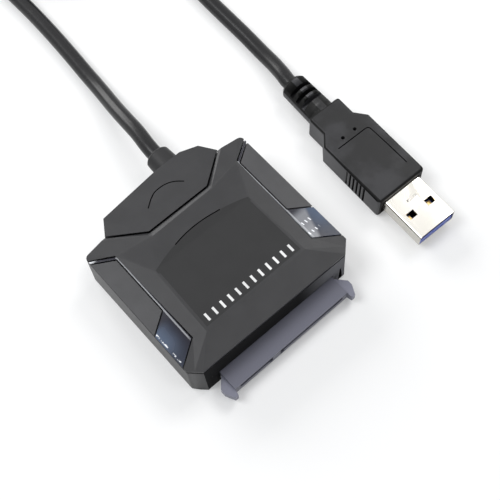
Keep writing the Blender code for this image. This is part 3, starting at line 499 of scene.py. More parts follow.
def smooth_path(waypoints, step):
    """Points about one step apart on a smooth curve through the waypoints."""
    points = [Vector(point) for point in waypoints]
    ends = [2 * points[0] - points[1], *points, 2 * points[-1] - points[-2]]
    path = [points[0]]
    for before, start, end, after in zip(ends, ends[1:], ends[2:], ends[3:]):
        pieces = max(1, round((end - start).length / step))
        for piece in range(1, pieces + 1):
            t = piece / pieces
            bend = (2 * before - 5 * start + 4 * end - after) * t**2
            twist = (3 * start - before - 3 * end + after) * t**3
            path.append(0.5 * (2 * start + (end - before) * t + bend + twist))
    return path


def add_box(bm, low, high):
    """Adds a box from its lowest and highest corner."""
    middle = (Vector(low) + Vector(high)) / 2
    size = Vector(high) - Vector(low)
    bmesh.ops.create_cube(bm, size=1.0, matrix=Matrix.Translation(middle) @ Matrix.Diagonal((*size, 1.0)))


def ease(share):
    share = min(max(share, 0.0), 1.0)
    return share * share * (3 - 2 * share)


def coil_turns():
    """The middle of the coiled cable, in millimetres: an outer turn, an inner one, and part of one on top."""
    cx, cy = COIL_CENTRE
    places = []
    for degrees in range(*COIL_ANGLES, -COIL_STEP):
        radius = COIL_OUTER + (COIL_INNER - COIL_OUTER) * ease((STEP_INWARDS[0] - degrees) / STEP_INWARDS[1])
        radius += (COIL_TOP - COIL_INNER) * ease((STEP_ON_TOP[0] - degrees) / STEP_ON_TOP[1])
        angle = math.radians(degrees)
        places.append(Vector((cx + radius * math.cos(angle), cy + radius * math.sin(angle), LIE)))
    return places


def rest_on_others(path, start):
    """Lifts each point of a path onto the earlier strands that lie under it, then evens the slopes."""
    own_strand = 30
    rounds = 24
    for index in range(start, len(path)):
        point = path[index]
        height = LIE
        for other in path[: index - own_strand]:
            across = math.hypot(point.x - other.x, point.y - other.y)
            if across < STRAND_GAP:
                height = max(height, other.z + math.sqrt(STRAND_GAP**2 - across**2))
        point.z = height
    floor = [point.z for point in path]
    for _ in range(rounds):
        for index in range(start, len(path) - 1):
            even = (path[index - 1].z + path[index + 1].z) / 2
            path[index].z = max(floor[index], even)


def cable_path():
    """The cable's middle from the case to the plug, in metres."""
    turns = coil_turns()
    last = turns[-1]
    ahead = (last - turns[-2]).normalized()
    off = [Vector((last.x + ahead.x * along, last.y + ahead.y * along, height)) for along, height in OFF_COIL]
    path = smooth_path([*CASE_ROUTE, *turns, *off, *PLUG_ROUTE], CABLE_STEP)
    first = next(index for index, point in enumerate(path) if point.y > COIL_CENTRE[1])
    over_coil = [point.y > PLUG_ROUTE[0][1] and point.x > COIL_CENTRE[0] for point in path]
    end = max(index for index, over in enumerate(over_coil) if over)
    rest_on_others(path[: end + 1], first)
    return [case_point(*point) for point in path]


def length(name, description, default):
    return bpy.props.FloatProperty(name=name, description=description, default=default, unit="LENGTH")


def colour_of(name, description, default):
    return bpy.props.FloatVectorProperty(
        name=name, description=description, default=default, size=3, subtype="COLOR"
    )


class AdapterSizes(bpy.types.PropertyGroup):
    """Sizes that a user would change."""

    edge: length("Edge rounding", "Rounding between the cover's facets", 0.4 * MM)
    line: length("Engraved line", "Half the width of an engraved line", 0.15 * MM)
    line_depth: length("Engraving depth", "Depth of an engraved line", 0.45 * MM)
    mark_width: length("Mark width", "Width of one bar on the plateau", 0.62 * MM)
    mark_height: length("Mark height", "Height of one bar on the plateau", 2.1 * MM)
    mark_count: bpy.props.IntProperty(name="Front marks", description="Bars on the plateau", default=12)
    mark_span: length("Front mark span", "Length of the row of bars", 26.4 * MM)
    tie_width: length("Tie width", "Width of the band that holds the coil", 5.0 * MM)


class AdapterColours(bpy.types.PropertyGroup):
    """Colours of the finishes."""

    case: colour_of("Case", "Moulded case", (0.032, 0.032, 0.034))
    strip: colour_of("Light strip", "Smoked glossy strip", (0.017, 0.017, 0.027))
    # The window's smoked blue; the strip turns to it towards its outer edge as a painted reflection.
    window: colour_of("Window", "Smoked window towards its outer edge", (0.068, 0.093, 0.145))
    # The milky colour: partly the frosted window, partly a painted reflection of a soft lamp.
    frost_and_reflection: colour_of("Milky window", "Frosted part of the window", (0.21, 0.215, 0.235))
    panel: colour_of("Trim panel", "Panels in the strips", (0.06, 0.06, 0.063))
    receptacle: colour_of("Receptacle", "Slate plastic", (0.164, 0.166, 0.208))
    mould: colour_of("Plug moulding", "Soft moulding of the plug", (0.019, 0.019, 0.021))
    jacket: colour_of("Cable jacket", "Cable's jacket", (0.012, 0.012, 0.013))
    shell: colour_of("Shell", "Nickelled steel", (0.91, 0.885, 0.82))
    tongue: colour_of("Tongue", "Blue tongue in the plug", (0.055, 0.11, 0.56))
    gold: colour_of("Contacts", "Gold-plated contacts", (0.83, 0.6, 0.27))
    print_white: colour_of("Marks", "White print", (0.8, 0.8, 0.8))
    board: colour_of("Board", "Solder mask", (0.012, 0.09, 0.035))


class AdapterOperator:
    """What the building operators share."""

    bl_options = {"REGISTER", "UNDO"}

    def sizes(self, context):
        return context.scene.adapter_sizes

    def colours(self, context):
        return context.scene.adapter_colours


def add_lamp(name, direction, size, radiance, tint):
    """A soft lamp aimed at the object, equally bright whatever its size."""
    light = bpy.data.lights.new(name, "AREA")
    light.shape = "RECTANGLE"
    light.size, light.size_y = size
    light.energy = radiance * math.pi * size[0] * size[1]
    light.color = tint
    lamp = bpy.data.objects.new(name, light)
    lamp.location = LAMP_TARGET + Vector(direction).normalized() * LAMP_DISTANCE
    lamp.rotation_euler = (LAMP_TARGET - lamp.location).to_track_quat("-Z", "Y").to_euler()
    bpy.context.scene.collection.objects.link(lamp)


def white_to_lens(tree):
    """One where a ray comes from the camera, a mirror or glass: those see the plain white studio."""
    rays = tree.nodes.new("ShaderNodeLightPath")
    seen = rays.outputs["Is Camera Ray"]
    for label in ("Is Glossy Ray", "Is Transmission Ray"):
        join = tree.nodes.new("ShaderNodeMath")
        join.operation = "MAXIMUM"
        tree.links.new(seen, join.inputs[0])
        tree.links.new(rays.outputs[label], join.inputs[1])
        seen = join.outputs[0]
    return seen


def blend(tree, factor, first, second):
    """Mixes two shaders by a factor."""
    mix = tree.nodes.new("ShaderNodeMixShader")
    for socket, source in zip(mix.inputs, (factor, first, second)):
        tree.links.new(source, socket)
    return mix.outputs[0]


class ADAPTER_OT_stage(AdapterOperator, bpy.types.Operator):
    """Adds the white floor, the soft lamps and the camera"""

    bl_idname = "adapter.stage"
    bl_label = "Stage"

    def execute(self, context):
        scene = context.scene
        scene.view_settings.view_transform = "Standard"
        self.add_world(scene)
        self.add_floor()
        self.add_camera(scene)
        for lamp in LAMPS:
            add_lamp(*lamp)
        return {"FINISHED"}

    def add_world(self, scene):
        world = bpy.data.worlds.new("studio")
        world.use_nodes = True
        scene.world = world
        tree = world.node_tree
        tree.nodes.clear()
        skies = []
        for colour, strength in (((0.93, 0.965, 1.0, 1.0), WORLD_LIGHT), ((1.0, 1.0, 1.0, 1.0), 1.0)):
            sky = tree.nodes.new("ShaderNodeBackground")
            sky.inputs["Color"].default_value = colour
            sky.inputs["Strength"].default_value = strength
            skies.append(sky.outputs[0])
        output = tree.nodes.new("ShaderNodeOutputWorld")
        tree.links.new(blend(tree, white_to_lens(tree), *skies), output.inputs[0])

    def add_floor(self):
        """A sheet of pale paper that the lens sees turn plain white away from the object."""
        bm = bmesh.new()
        bmesh.ops.create_grid(bm, x_segments=1, y_segments=1, size=FLOOR_HALF)
        finish = Finish("floor_paper", specular_ior_level=0.0, roughness=1.0, base_color=(0.78, 0.78, 0.785))
        tree = finish.tree
        paper = tree.nodes.new("ShaderNodeBsdfDiffuse")
        paper.inputs["Color"].default_value = (0.97, 0.97, 0.97, 1.0)
        glow = tree.nodes.new("ShaderNodeEmission")
        x, y, _ = finish.axes()
        away = (x * x + y * y).math("SQRT").between(0.2, 0.55, 0.25, 0.97)
        lit = blend(tree, away.socket, paper.outputs[0], glow.outputs[0])
        seen = blend(tree, white_to_lens(tree), finish.shader.outputs[0], lit)
        tree.links.new(seen, tree.nodes["Material Output"].inputs["Surface"])
        add_piece("floor", mesh_from(bm, "floor"), finish)

    def add_camera(self, scene):
        lens = bpy.data.cameras.new("camera")
        lens.sensor_fit = "HORIZONTAL"
        lens.sensor_width = SENSOR
        lens.lens = FOCAL
        lens.clip_start = 0.01
        lens.clip_end = 20
        ahead = Vector(
            (
                -math.sin(CAMERA_AZIMUTH) * math.cos(CAMERA_ELEVATION),
                math.cos(CAMERA_AZIMUTH) * math.cos(CAMERA_ELEVATION),
                -math.sin(CAMERA_ELEVATION),
            )
        )
        right = ahead.cross(Vector((0, 0, 1))).normalized()
        up = right.cross(ahead)
        cosine = math.cos(CAMERA_ROLL)
        sine = math.sin(CAMERA_ROLL)
        columns = (cosine * right + sine * up, cosine * up - sine * right, -ahead)
        camera = bpy.data.objects.new("camera", lens)
        place = Matrix.Translation(case_point(*CAMERA_PLACE))
        camera.matrix_world = place @ Matrix(columns).transposed().to_4x4()
        scene.collection.objects.link(camera)
        scene.camera = camera


class ADAPTER_OT_cable(AdapterOperator, bpy.types.Operator):
    """Adds the cable with its coil, and the tie that holds the coil"""

    bl_idname = "adapter.cable"
    bl_label = "Cable"

    def execute(self, context):
        path = cable_path()
        curve = bpy.data.curves.new("cable", "CURVE")
        curve.dimensions = "3D"
        curve.bevel_depth = CABLE / 2
        curve.bevel_resolution = 6
        curve.use_fill_caps = True
        spline = curve.splines.new("POLY")
        spline.points.add(len(path) - 1)
        for point, place in zip(spline.points, path):
            point.co = (*place, 1)
        spline.use_smooth = True
        jacket = moulded("cable_jacket", self.colours(context).jacket, 0.24, grain=0.5, distance=0.008)
        cable = add_piece("cable", curve, jacket)
        keep(cable, "cable", "cable_from_case", "cable_coil", "cable_to_plug")
        self.add_tie(context, jacket)
        return {"FINISHED"}

    def add_tie(self, context, jacket):
        """A band round the turns on the coil's far side."""
        half = self.sizes(context).tie_width / MM / 2
        centre = Vector((*COIL_CENTRE, 0))
        middle = (COIL_INNER + COIL_OUTER) / 2
        radius = CABLE / MM / 2 + TIE_GAP
        steps = 6
        outline = []
        for x, start in ((COIL_INNER, 180), (COIL_OUTER, 270), (COIL_OUTER, 0), (COIL_INNER, 90)):
            for step in range(steps + 1):
                angle = math.radians(start + 90 * step / steps)
                height = max(LIE + radius * math.sin(angle), LIE - radius + TIE_GAP)
                outline.append((x + radius * math.cos(angle), height))
        bm = bmesh.new()
        rings = []
        for offset in (0, TIE_THICKNESS):
            for side in (-1, 1):
                ring = []
                for x, z in outline:
                    away = Vector((x - middle, z - LIE)).normalized() * offset
                    place = Vector((side * half, x + away.x, max(z + away.y, 0.02)))
                    ring.append(bm.verts.new(case_point(*(centre + place))))
                rings.append(ring)
        inner_left, inner_right, outer_left, outer_right = rings
        for near, far in (
            (inner_left, inner_right),
            (outer_right, outer_left),
            (inner_right, outer_right),
            (outer_left, inner_left),
        ):
            for index in range(len(outline)):
                other = (index + 1) % len(outline)
                bm.faces.new((near[index], near[other], far[other], far[index]))
        bmesh.ops.recalc_face_normals(bm, faces=bm.faces)
        tie = add_piece("coil_tie", mesh_from(bm, "coil_tie"), jacket)
        soften(tie, 0.12 * MM, angle=30.0)
        keep(even_out(tie), "cable")


def lean_front(bm):
    """Leans the case's front wall back towards its top, as the moulding's draft does."""
    for vert in bm.verts:
        back = vert.co.y - FRONT_Y
        if back < LEAN_REACH:
            pull = LEAN_LEFT + (LEAN_RIGHT - LEAN_LEFT) * ease(0.5 + vert.co.x / LEAN_SPAN)
            vert.co.y += pull * vert.co.z / RIM * (1 - LEAN_LOSS * back / LEAN_REACH)


def second_finish(piece, material, wanted):
    """Gives some faces of a piece a material of their own."""
    piece.data.materials.append(material)
    slot = len(piece.data.materials) - 1
    for face in piece.data.polygons:
        if wanted(face):
            face.material_index = slot


def on_outline(point):
    """Whether a point lies on the case's outer walls."""
    back = point.y - FRONT_Y
    return abs(point.x) > SIDE - 1.5 * NEAR or back < OUTLINE_FRONT or back > OUTLINE_REAR


def open_seam(bm):
    """Lifts the lower edge of the band under the rim, so that the joint below it reads as a dark line."""
    seam, raised = BAND_EDGE
    lifted = set()
    for edge in bm.edges:
        low, high = sorted(edge.verts, key=lambda vert: vert.co.z)
        upright = (high.co - low.co).xy.length < NEAR
        if upright and abs(low.co.z - seam) < NEAR and high.co.z < RIM + NEAR and on_outline(low.co):
            lifted.add((low, high.co.z))
    for vert, top in lifted:
        vert.co.z = min(raised, top - LEAST_BAND)


def fill_foot(bm):
    """Makes the rounding under the case smaller."""
    sides = 20 * MM
    front = 2 * MM
    rear = 40 * MM
    for vert in bm.verts:
        if vert.co.z < FOOT:
            grow = FOOT_FILL * (1 - vert.co.z / FOOT) ** 2
            back = vert.co.y - FRONT_Y
            if abs(vert.co.x) > sides:
                vert.co.x += math.copysign(grow, vert.co.x)
            if back < front:
                vert.co.y -= grow
            if back > rear:
                vert.co.y += grow


def round_creases(bm, width):
    """Rounds the gentle edges between the cover's facets."""
    low, high = CREASE_ANGLES
    bm.normal_update()
    creases = []
    for edge in bm.edges:
        gentle = edge.is_manifold and low < math.degrees(abs(edge.calc_face_angle())) < high
        if gentle and min(vert.co.z for vert in edge.verts) > CREASE_FLOOR:
            creases.append(edge)
    bmesh.ops.bevel(
        bm,
        geom=creases,
        offset=width,
        segments=3,
        profile=0.5,
        affect="EDGES",
        clamp_overlap=False,
        miter_outer="ARC",
    )


def side_boxes(low, high):
    """A box and its mirror image on the case's other side, from corners in millimetres."""
    bm = bmesh.new()
    for sign in (-1, 1):
        near, far = sorted((sign * low[0], sign * high[0]))
        add_box(bm, case_point(near, *low[1:]), case_point(far, *high[1:]))
    return bm


class ADAPTER_OT_case(AdapterOperator, bpy.types.Operator):
    """Adds the faceted cover, the tray under it and the grommet"""

    bl_idname = "adapter.case"
    bl_label = "Case"

    def execute(self, context):
        colour = self.colours(context).case
        keep(self.add_cover(context, self.cover_finish(colour)), "case", "top_cover")
        self.add_tray(colour)
        rubber = moulded("grommet_rubber", tone(colour, 0.45), 0.45)
        grommet = dressed("grommet", "cable_grommet", rubber, 0.1)
        smooth(grommet, 35)
        keep(grommet, "case", "cable_grommet")
        return {"FINISHED"}

    def add_tray(self, colour):
        bm = node_bmesh("bottom_case")
        lean_front(bm)
        fill_foot(bm)
        for vert in bm.verts:
            if abs(vert.co.z - TRAY_EDGE[0]) < NEAR and on_outline(vert.co):
                vert.co.z = TRAY_EDGE[1]
        tray = add_piece("case_tray", mesh_from(bm, "case_tray"), moulded("case_plastic", colour, 0.38))
        self.close_opening(tray)
        second_finish(tray, self.front_painted_shade(colour).material, self.in_front)
        keep(even_out(tray), "case", "bottom_case")

    def cover_finish(self, colour):
        """The case's plastic, with the plateau's darker tone in the band behind it, up to the arc."""
        finish = moulded("cover_plastic", colour, 0.38)
        x, y, _ = finish.axes()
        across = x * (1 / MM)
        back = (y - FRONT_Y) * (1 / MM)
        arc = ARC_MIDDLE - ARC_FALL * across * across
        inside = across.math("ABSOLUTE").between(14.9, 14.6)
        band = (arc - back).between(-0.05, 0.1) * back.between(26.0, 26.3) * inside
        finish.feed("Base Color", finish.mix(band, finish.mottled(colour), tone(colour, PLATEAU_TONE)))
        return finish

    def add_cover(self, context, finish):
        sizes = self.sizes(context)
        bm = node_bmesh("top_cover")
        lean_front(bm)
        open_seam(bm)
        round_creases(bm, sizes.edge)
        cover = add_piece("cover", mesh_from(bm, "cover"), finish)
        self.engrave(cover, sizes)
        grained = moulded("plateau_plastic", tone(self.colours(context).case, PLATEAU_TONE), 0.5, grain=0.6)
        second_finish(cover, grained.material, self.on_plateau)
        return even_out(cover, 9)

    def on_plateau(self, face):
        """Whether a face is the plateau's flat top."""
        return face.normal.z > 0.9999 and face.center.z > (PLATEAU_TOP - 0.07) * MM

    def front_painted_shade(self, colour):
        """Painted shade: a dull near-black on the front wall beside the receptacle, where shade falls, that
        turns to painted light, a grey six times the case's colour, at the right-hand end.
        """
        dull = Finish("front_wall_painted_shade", specular_ior_level=0.06)
        x = dull.axes()[0]
        speck = dull.noise(2500.0)
        # Painted shade up to 8 mm right of the middle, painted light beyond 20.5 mm.
        share = (x + 2.5 * MM * speck).between(8 * MM, 20.5 * MM)
        dull.feed("Base Color", dull.mix(share, tone(colour, 0.3), tone(colour, 6.0)))
        dull.feed("Roughness", 0.7 + 0.1 * speck)
        dull.bump(speck, 0.012 * MM, 0.6)
        return dull

    def in_front(self, face):
        """Whether a face is the front wall's outside."""
        place = face.center
        outside = face.normal.y < -0.9 and place.y - FRONT_Y < 1.1 * MM and abs(place.x) < FRONT_END
        return outside and face.material_index == 0

    def close_opening(self, tray):
        """Fills the wall beside the receptacle and the corners at the strips' ends, and cuts the slit."""
        bm = side_boxes(*WALL_FILL)
        lean_front(bm)
        carve(tray, mesh_from(bm, "fill"), "UNION")
        carve(tray, mesh_from(side_boxes(*CORNER_FILL), "corner_fill"), "UNION")
        bm = bmesh.new()
        front, back = [[bm.verts.new(case_point(x, y, z)) for x, z in SLIT] for y in SLIT_REACH]
        bm.faces.new(front)
        bm.faces.new(back[::-1])
        for index in range(4):
            other = (index + 1) % 4
            bm.faces.new((front[index], back[index], back[other], front[other]))
        bmesh.ops.recalc_face_normals(bm, faces=bm.faces)
        # The slit's faces take painted shade, a near-black where shade falls inside it.
        carve(tray, mesh_from(bm, "slit"), material=painted_groove_shade())

    def engrave(self, cover, sizes):
        """Cuts the cover's lines, each as deep all along the facets that it crosses."""
        bm = bmesh.new()
        bm.from_mesh(cover.data)
        tree = BVHTree.FromBMesh(bm)
        bm.free()
        down = Vector((0, 0, -1))
        for line, half, depth in (
            (smooth_path(in_plan(CRESCENT), LINE_STEP), sizes.line, sizes.line_depth),
            (smooth_path(in_plan(ARC), LINE_STEP), sizes.line, sizes.line_depth),
            (in_plan(SEAM), SEAM_HALF, SEAM_DEPTH),
        ):
            hits = [tree.ray_cast(case_point(point.x, point.y, 20), down)[0] for point in line]
            path = [hit for hit in hits if hit is not None]
            # The cut faces take painted shade, a near-black.
            carve(cover, ribbon(path, half, depth, 0.5 * MM), material=painted_groove_shade())


class ADAPTER_OT_strips(AdapterOperator, bpy.types.Operator):
    """Adds the smoked strips with their windows, and the trim panels"""

    bl_idname = "adapter.strips"
    bl_label = "Strips and panels"

    def execute(self, context):
        colours = self.colours(context)
        gloss = self.smoked(colours)
        trim = moulded("trim_plastic", colours.panel, 0.36, grain=0.5, distance=0.014)
        for side in ("left", "right"):
            for slot, node, finish, rounding in (
                ("strip", "light_strip", gloss, 0.1 * MM),
                ("panel", "trim_panel", trim, 0.16 * MM),
            ):
                name = f"{side}_{slot}"
                bm = node_bmesh(f"{side}_{node}")
                open_seam(bm)
                piece = add_piece(name, mesh_from(bm, name), finish)
                soften(piece, rounding)
                keep(even_out(piece), slot, f"{side}_{node}")
        return {"FINISHED"}

    def smoked(self, colours):
        """Smoked plastic with a painted reflection that turns it blue towards its outer edges. The right
        window has a milky patch, partly frosting and partly a painted reflection, and small painted white
        glints; the left has painted glints along its outer rim and at its rear arm, and both have a painted
        highlight on the inner rail.
        """
        gloss = Finish("smoked_strip", coat_roughness=0.03, specular_ior_level=0.22)
        x, y, _ = gloss.axes()
        out = x.math("ABSOLUTE")
        right = x.math("GREATER_THAN", 0.0)
        left = x.math("LESS_THAN", 0.0)
        back = y - FRONT_Y
        haze = gloss.noise(90.0)
        window = back.between(17.5 * MM, 15.0 * MM)
        # Painted reflection: the blue towards the outer edges, fading towards the front.
        sheen = 0.25 + 0.75 * back.between(6.5 * MM, 13.0 * MM)
        blue_reflection = (out + 1.5 * MM * haze).between(20.5 * MM, 25.5 * MM) * window * sheen
        smoke_and_reflection = gloss.mix(blue_reflection, colours.strip, tuple(colours.window))
        # The milky patch on the right window: partly frosting, partly a painted reflection of a soft lamp.
        frost_and_reflection_edge = 20.9 * MM + 0.31 * (back - 7.6 * MM)
        frost_and_reflection = (frost_and_reflection_edge - x).between(-0.5 * MM, 0.7 * MM) * right * window
        smoke_frost_and_reflection = gloss.mix(frost_and_reflection, smoke_and_reflection, tuple(colours.frost_and_reflection))
        # Painted glints and highlights, in white: ticks on the right window, dashes along the left window's
        # outer rim, a highlight on the inner rails and a glint at the left rear arm.
        column = ((x + 0.2 * y) * (2 * math.pi / (1.1 * MM))).math("SINE").between(0.5, 0.8)
        row = (back * (2 * math.pi / (3.1 * MM))).math("SINE").between(0.5, 0.7)
        lamps = out.between(23.0 * MM, 22.4 * MM) * back.within(9.6 * MM, 15.4 * MM, 0.3 * MM)
        tick_glints = column * row * lamps * right * haze.between(0.35, 0.5)
        rim = out.within(24.5 * MM, 25.0 * MM, 0.15 * MM) * window
        rim_glints = rim * gloss.noise(1400.0, 1.0).between(0.5, 0.62) * left
        rail_highlight = 0.32 * out.within(19.35 * MM, 19.85 * MM, 0.1 * MM) * back.between(8.0 * MM, 10.0 * MM)
        glint = 0.75 * back.between(39.3 * MM, 39.9 * MM) * out.between(21.0 * MM, 23.5 * MM) * left
        # All the painted glints and highlights together.
        white = (tick_glints + rim_glints + rail_highlight + glint).math("MINIMUM", 1.0)
        gloss.feed("Base Color", gloss.mix(white, smoke_frost_and_reflection, (0.85, 0.87, 0.9)))
        gloss.feed("Roughness", 0.08 + 0.3 * blue_reflection + 0.05 * gloss.noise(500.0))
        gloss.feed("Coat Weight", 0.5 - 0.46 * window + 0.16 * frost_and_reflection)
        return gloss


def row_tree(material):
    """Geometry Nodes that set copies of a bar along a row: count, pitch and start are named inputs."""
    tree = bpy.data.node_groups.new("row_of_bars", "GeometryNodeTree")
    inputs = {"Geometry": "Geometry", "Count": "Int", "Pitch": "Float", "Start": "Vector"}
    for label, kind in inputs.items():
        tree.interface.new_socket(label, in_out="INPUT", socket_type=f"NodeSocket{kind}")
    tree.interface.new_socket("Geometry", in_out="OUTPUT", socket_type="NodeSocketGeometry")
    nodes = tree.nodes
    source = nodes.new("NodeGroupInput")
    target = nodes.new("NodeGroupOutput")
    offset = nodes.new("ShaderNodeCombineXYZ")
    row = nodes.new("GeometryNodeMeshLine")
    row.mode = "OFFSET"
    place = nodes.new("GeometryNodeInstanceOnPoints")
    realize = nodes.new("GeometryNodeRealizeInstances")
    paint = nodes.new("GeometryNodeSetMaterial")
    paint.inputs["Material"].default_value = material
    for start, end in (
        (source.outputs["Pitch"], offset.inputs["X"]),
        (source.outputs["Count"], row.inputs["Count"]),
        (source.outputs["Start"], row.inputs["Start Location"]),
        (offset.outputs[0], row.inputs["Offset"]),
        (row.outputs[0], place.inputs["Points"]),
        (source.outputs["Geometry"], place.inputs["Instance"]),
        (place.outputs[0], realize.inputs[0]),
        (realize.outputs[0], paint.inputs["Geometry"]),
        (paint.outputs[0], target.inputs[0]),
    ):
        tree.links.new(start, end)
    return tree


def row_of(name, mesh, finish, count, pitch, start):
    """One plain mesh of equal copies in a row."""
    piece = add_piece(name, mesh, finish)
    modifier = piece.modifiers.new("row", "NODES")
    modifier.node_group = row_tree(finish.material)
    items = modifier.node_group.interface.items_tree
    names = {item.name: item.identifier for item in items if item.in_out == "INPUT"}
    modifier[names["Count"]] = count
    modifier[names["Pitch"]] = pitch
    modifier[names["Start"]] = start
    return smooth(settle(piece))


def strip_of_metal(name, line, width, thickness):
    """A bent strip of metal from its side view as (y, z) points."""
    bm = bmesh.new()
    rings = []
    for index, (y, z) in enumerate(line):
        before = Vector(line[max(index - 1, 0)])
        after = Vector(line[min(index + 1, len(line) - 1)])
        along = (after - before).normalized()
        up = Vector((-along.y, along.x)) * thickness / 2
        if up.y < 0:
            up = -up
        places = ((-width / 2, up), (width / 2, up), (width / 2, -up), (-width / 2, -up))
        rings.append([bm.verts.new((x, y + move.x, z + move.y)) for x, move in places])
    skin(bm, rings)
    return mesh_from(bm, name)


def gilded(colours):
    gold = Finish("gold_contact", metallic=1.0)
    wear = gold.noise(700.0, 3.0)
    gold.feed("Base Color", gold.mix(wear.between(0.3, 0.75), colours.gold, tone(colours.gold, 0.8)))
    gold.feed("Roughness", 0.2 + 0.16 * wear)
    return gold


class ADAPTER_OT_receptacle(AdapterOperator, bpy.types.Operator):
    """Adds the drive receptacle and its contacts"""

    bl_idname = "adapter.receptacle"
    bl_label = "Receptacle"

    def execute(self, context):
        colours = self.colours(context)
        slate = moulded("slate_plastic", colours.receptacle, 0.4, grain=0.45)
        # Painted light: the two end arms take a slate 1.4 times lighter, where more light falls on them.
        ends = slate.axes()[0].math("ABSOLUTE").between(18.0 * MM, 18.8 * MM)
        slate.feed("Base Color", slate.mix(ends, tuple(colours.receptacle), tone(colours.receptacle, 1.4)))
        housing = dressed("receptacle", "sata_housing", slate)
        soften(housing, 0.14 * MM)
        keep(even_out(housing), "receptacle", "sata_housing")
        gold = gilded(colours)
        for label, count in (("signal", 7), ("power", 15)):
            low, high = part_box(f"{label}_contact_1")
            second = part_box(f"{label}_contact_2")[0]
            middle = (low.x + high.x) / 2
            line = [
                (high.y, low.z + 0.14 * MM),
                (FRONT_Y - 0.5 * MM, low.z + 0.14 * MM),
                (FRONT_Y - 1.3 * MM, low.z + 0.3 * MM),
                (FRONT_Y - 2.4 * MM, high.z - 0.13 * MM),
                (FRONT_Y - 3.5 * MM, high.z - 0.12 * MM),
                (FRONT_Y - 4.3 * MM, low.z + 0.3 * MM),
                (low.y + 0.05 * MM, low.z + 0.14 * MM),
            ]
            bar = strip_of_metal(label + "_contacts", line, high.x - low.x, 0.25 * MM)
            row = row_of(label + "_contacts", bar, gold, count, second.x - low.x, (middle, 0, 0))
            keep(row, "gold", *[f"{label}_contact_{number + 1}" for number in range(count)])
        return {"FINISHED"}


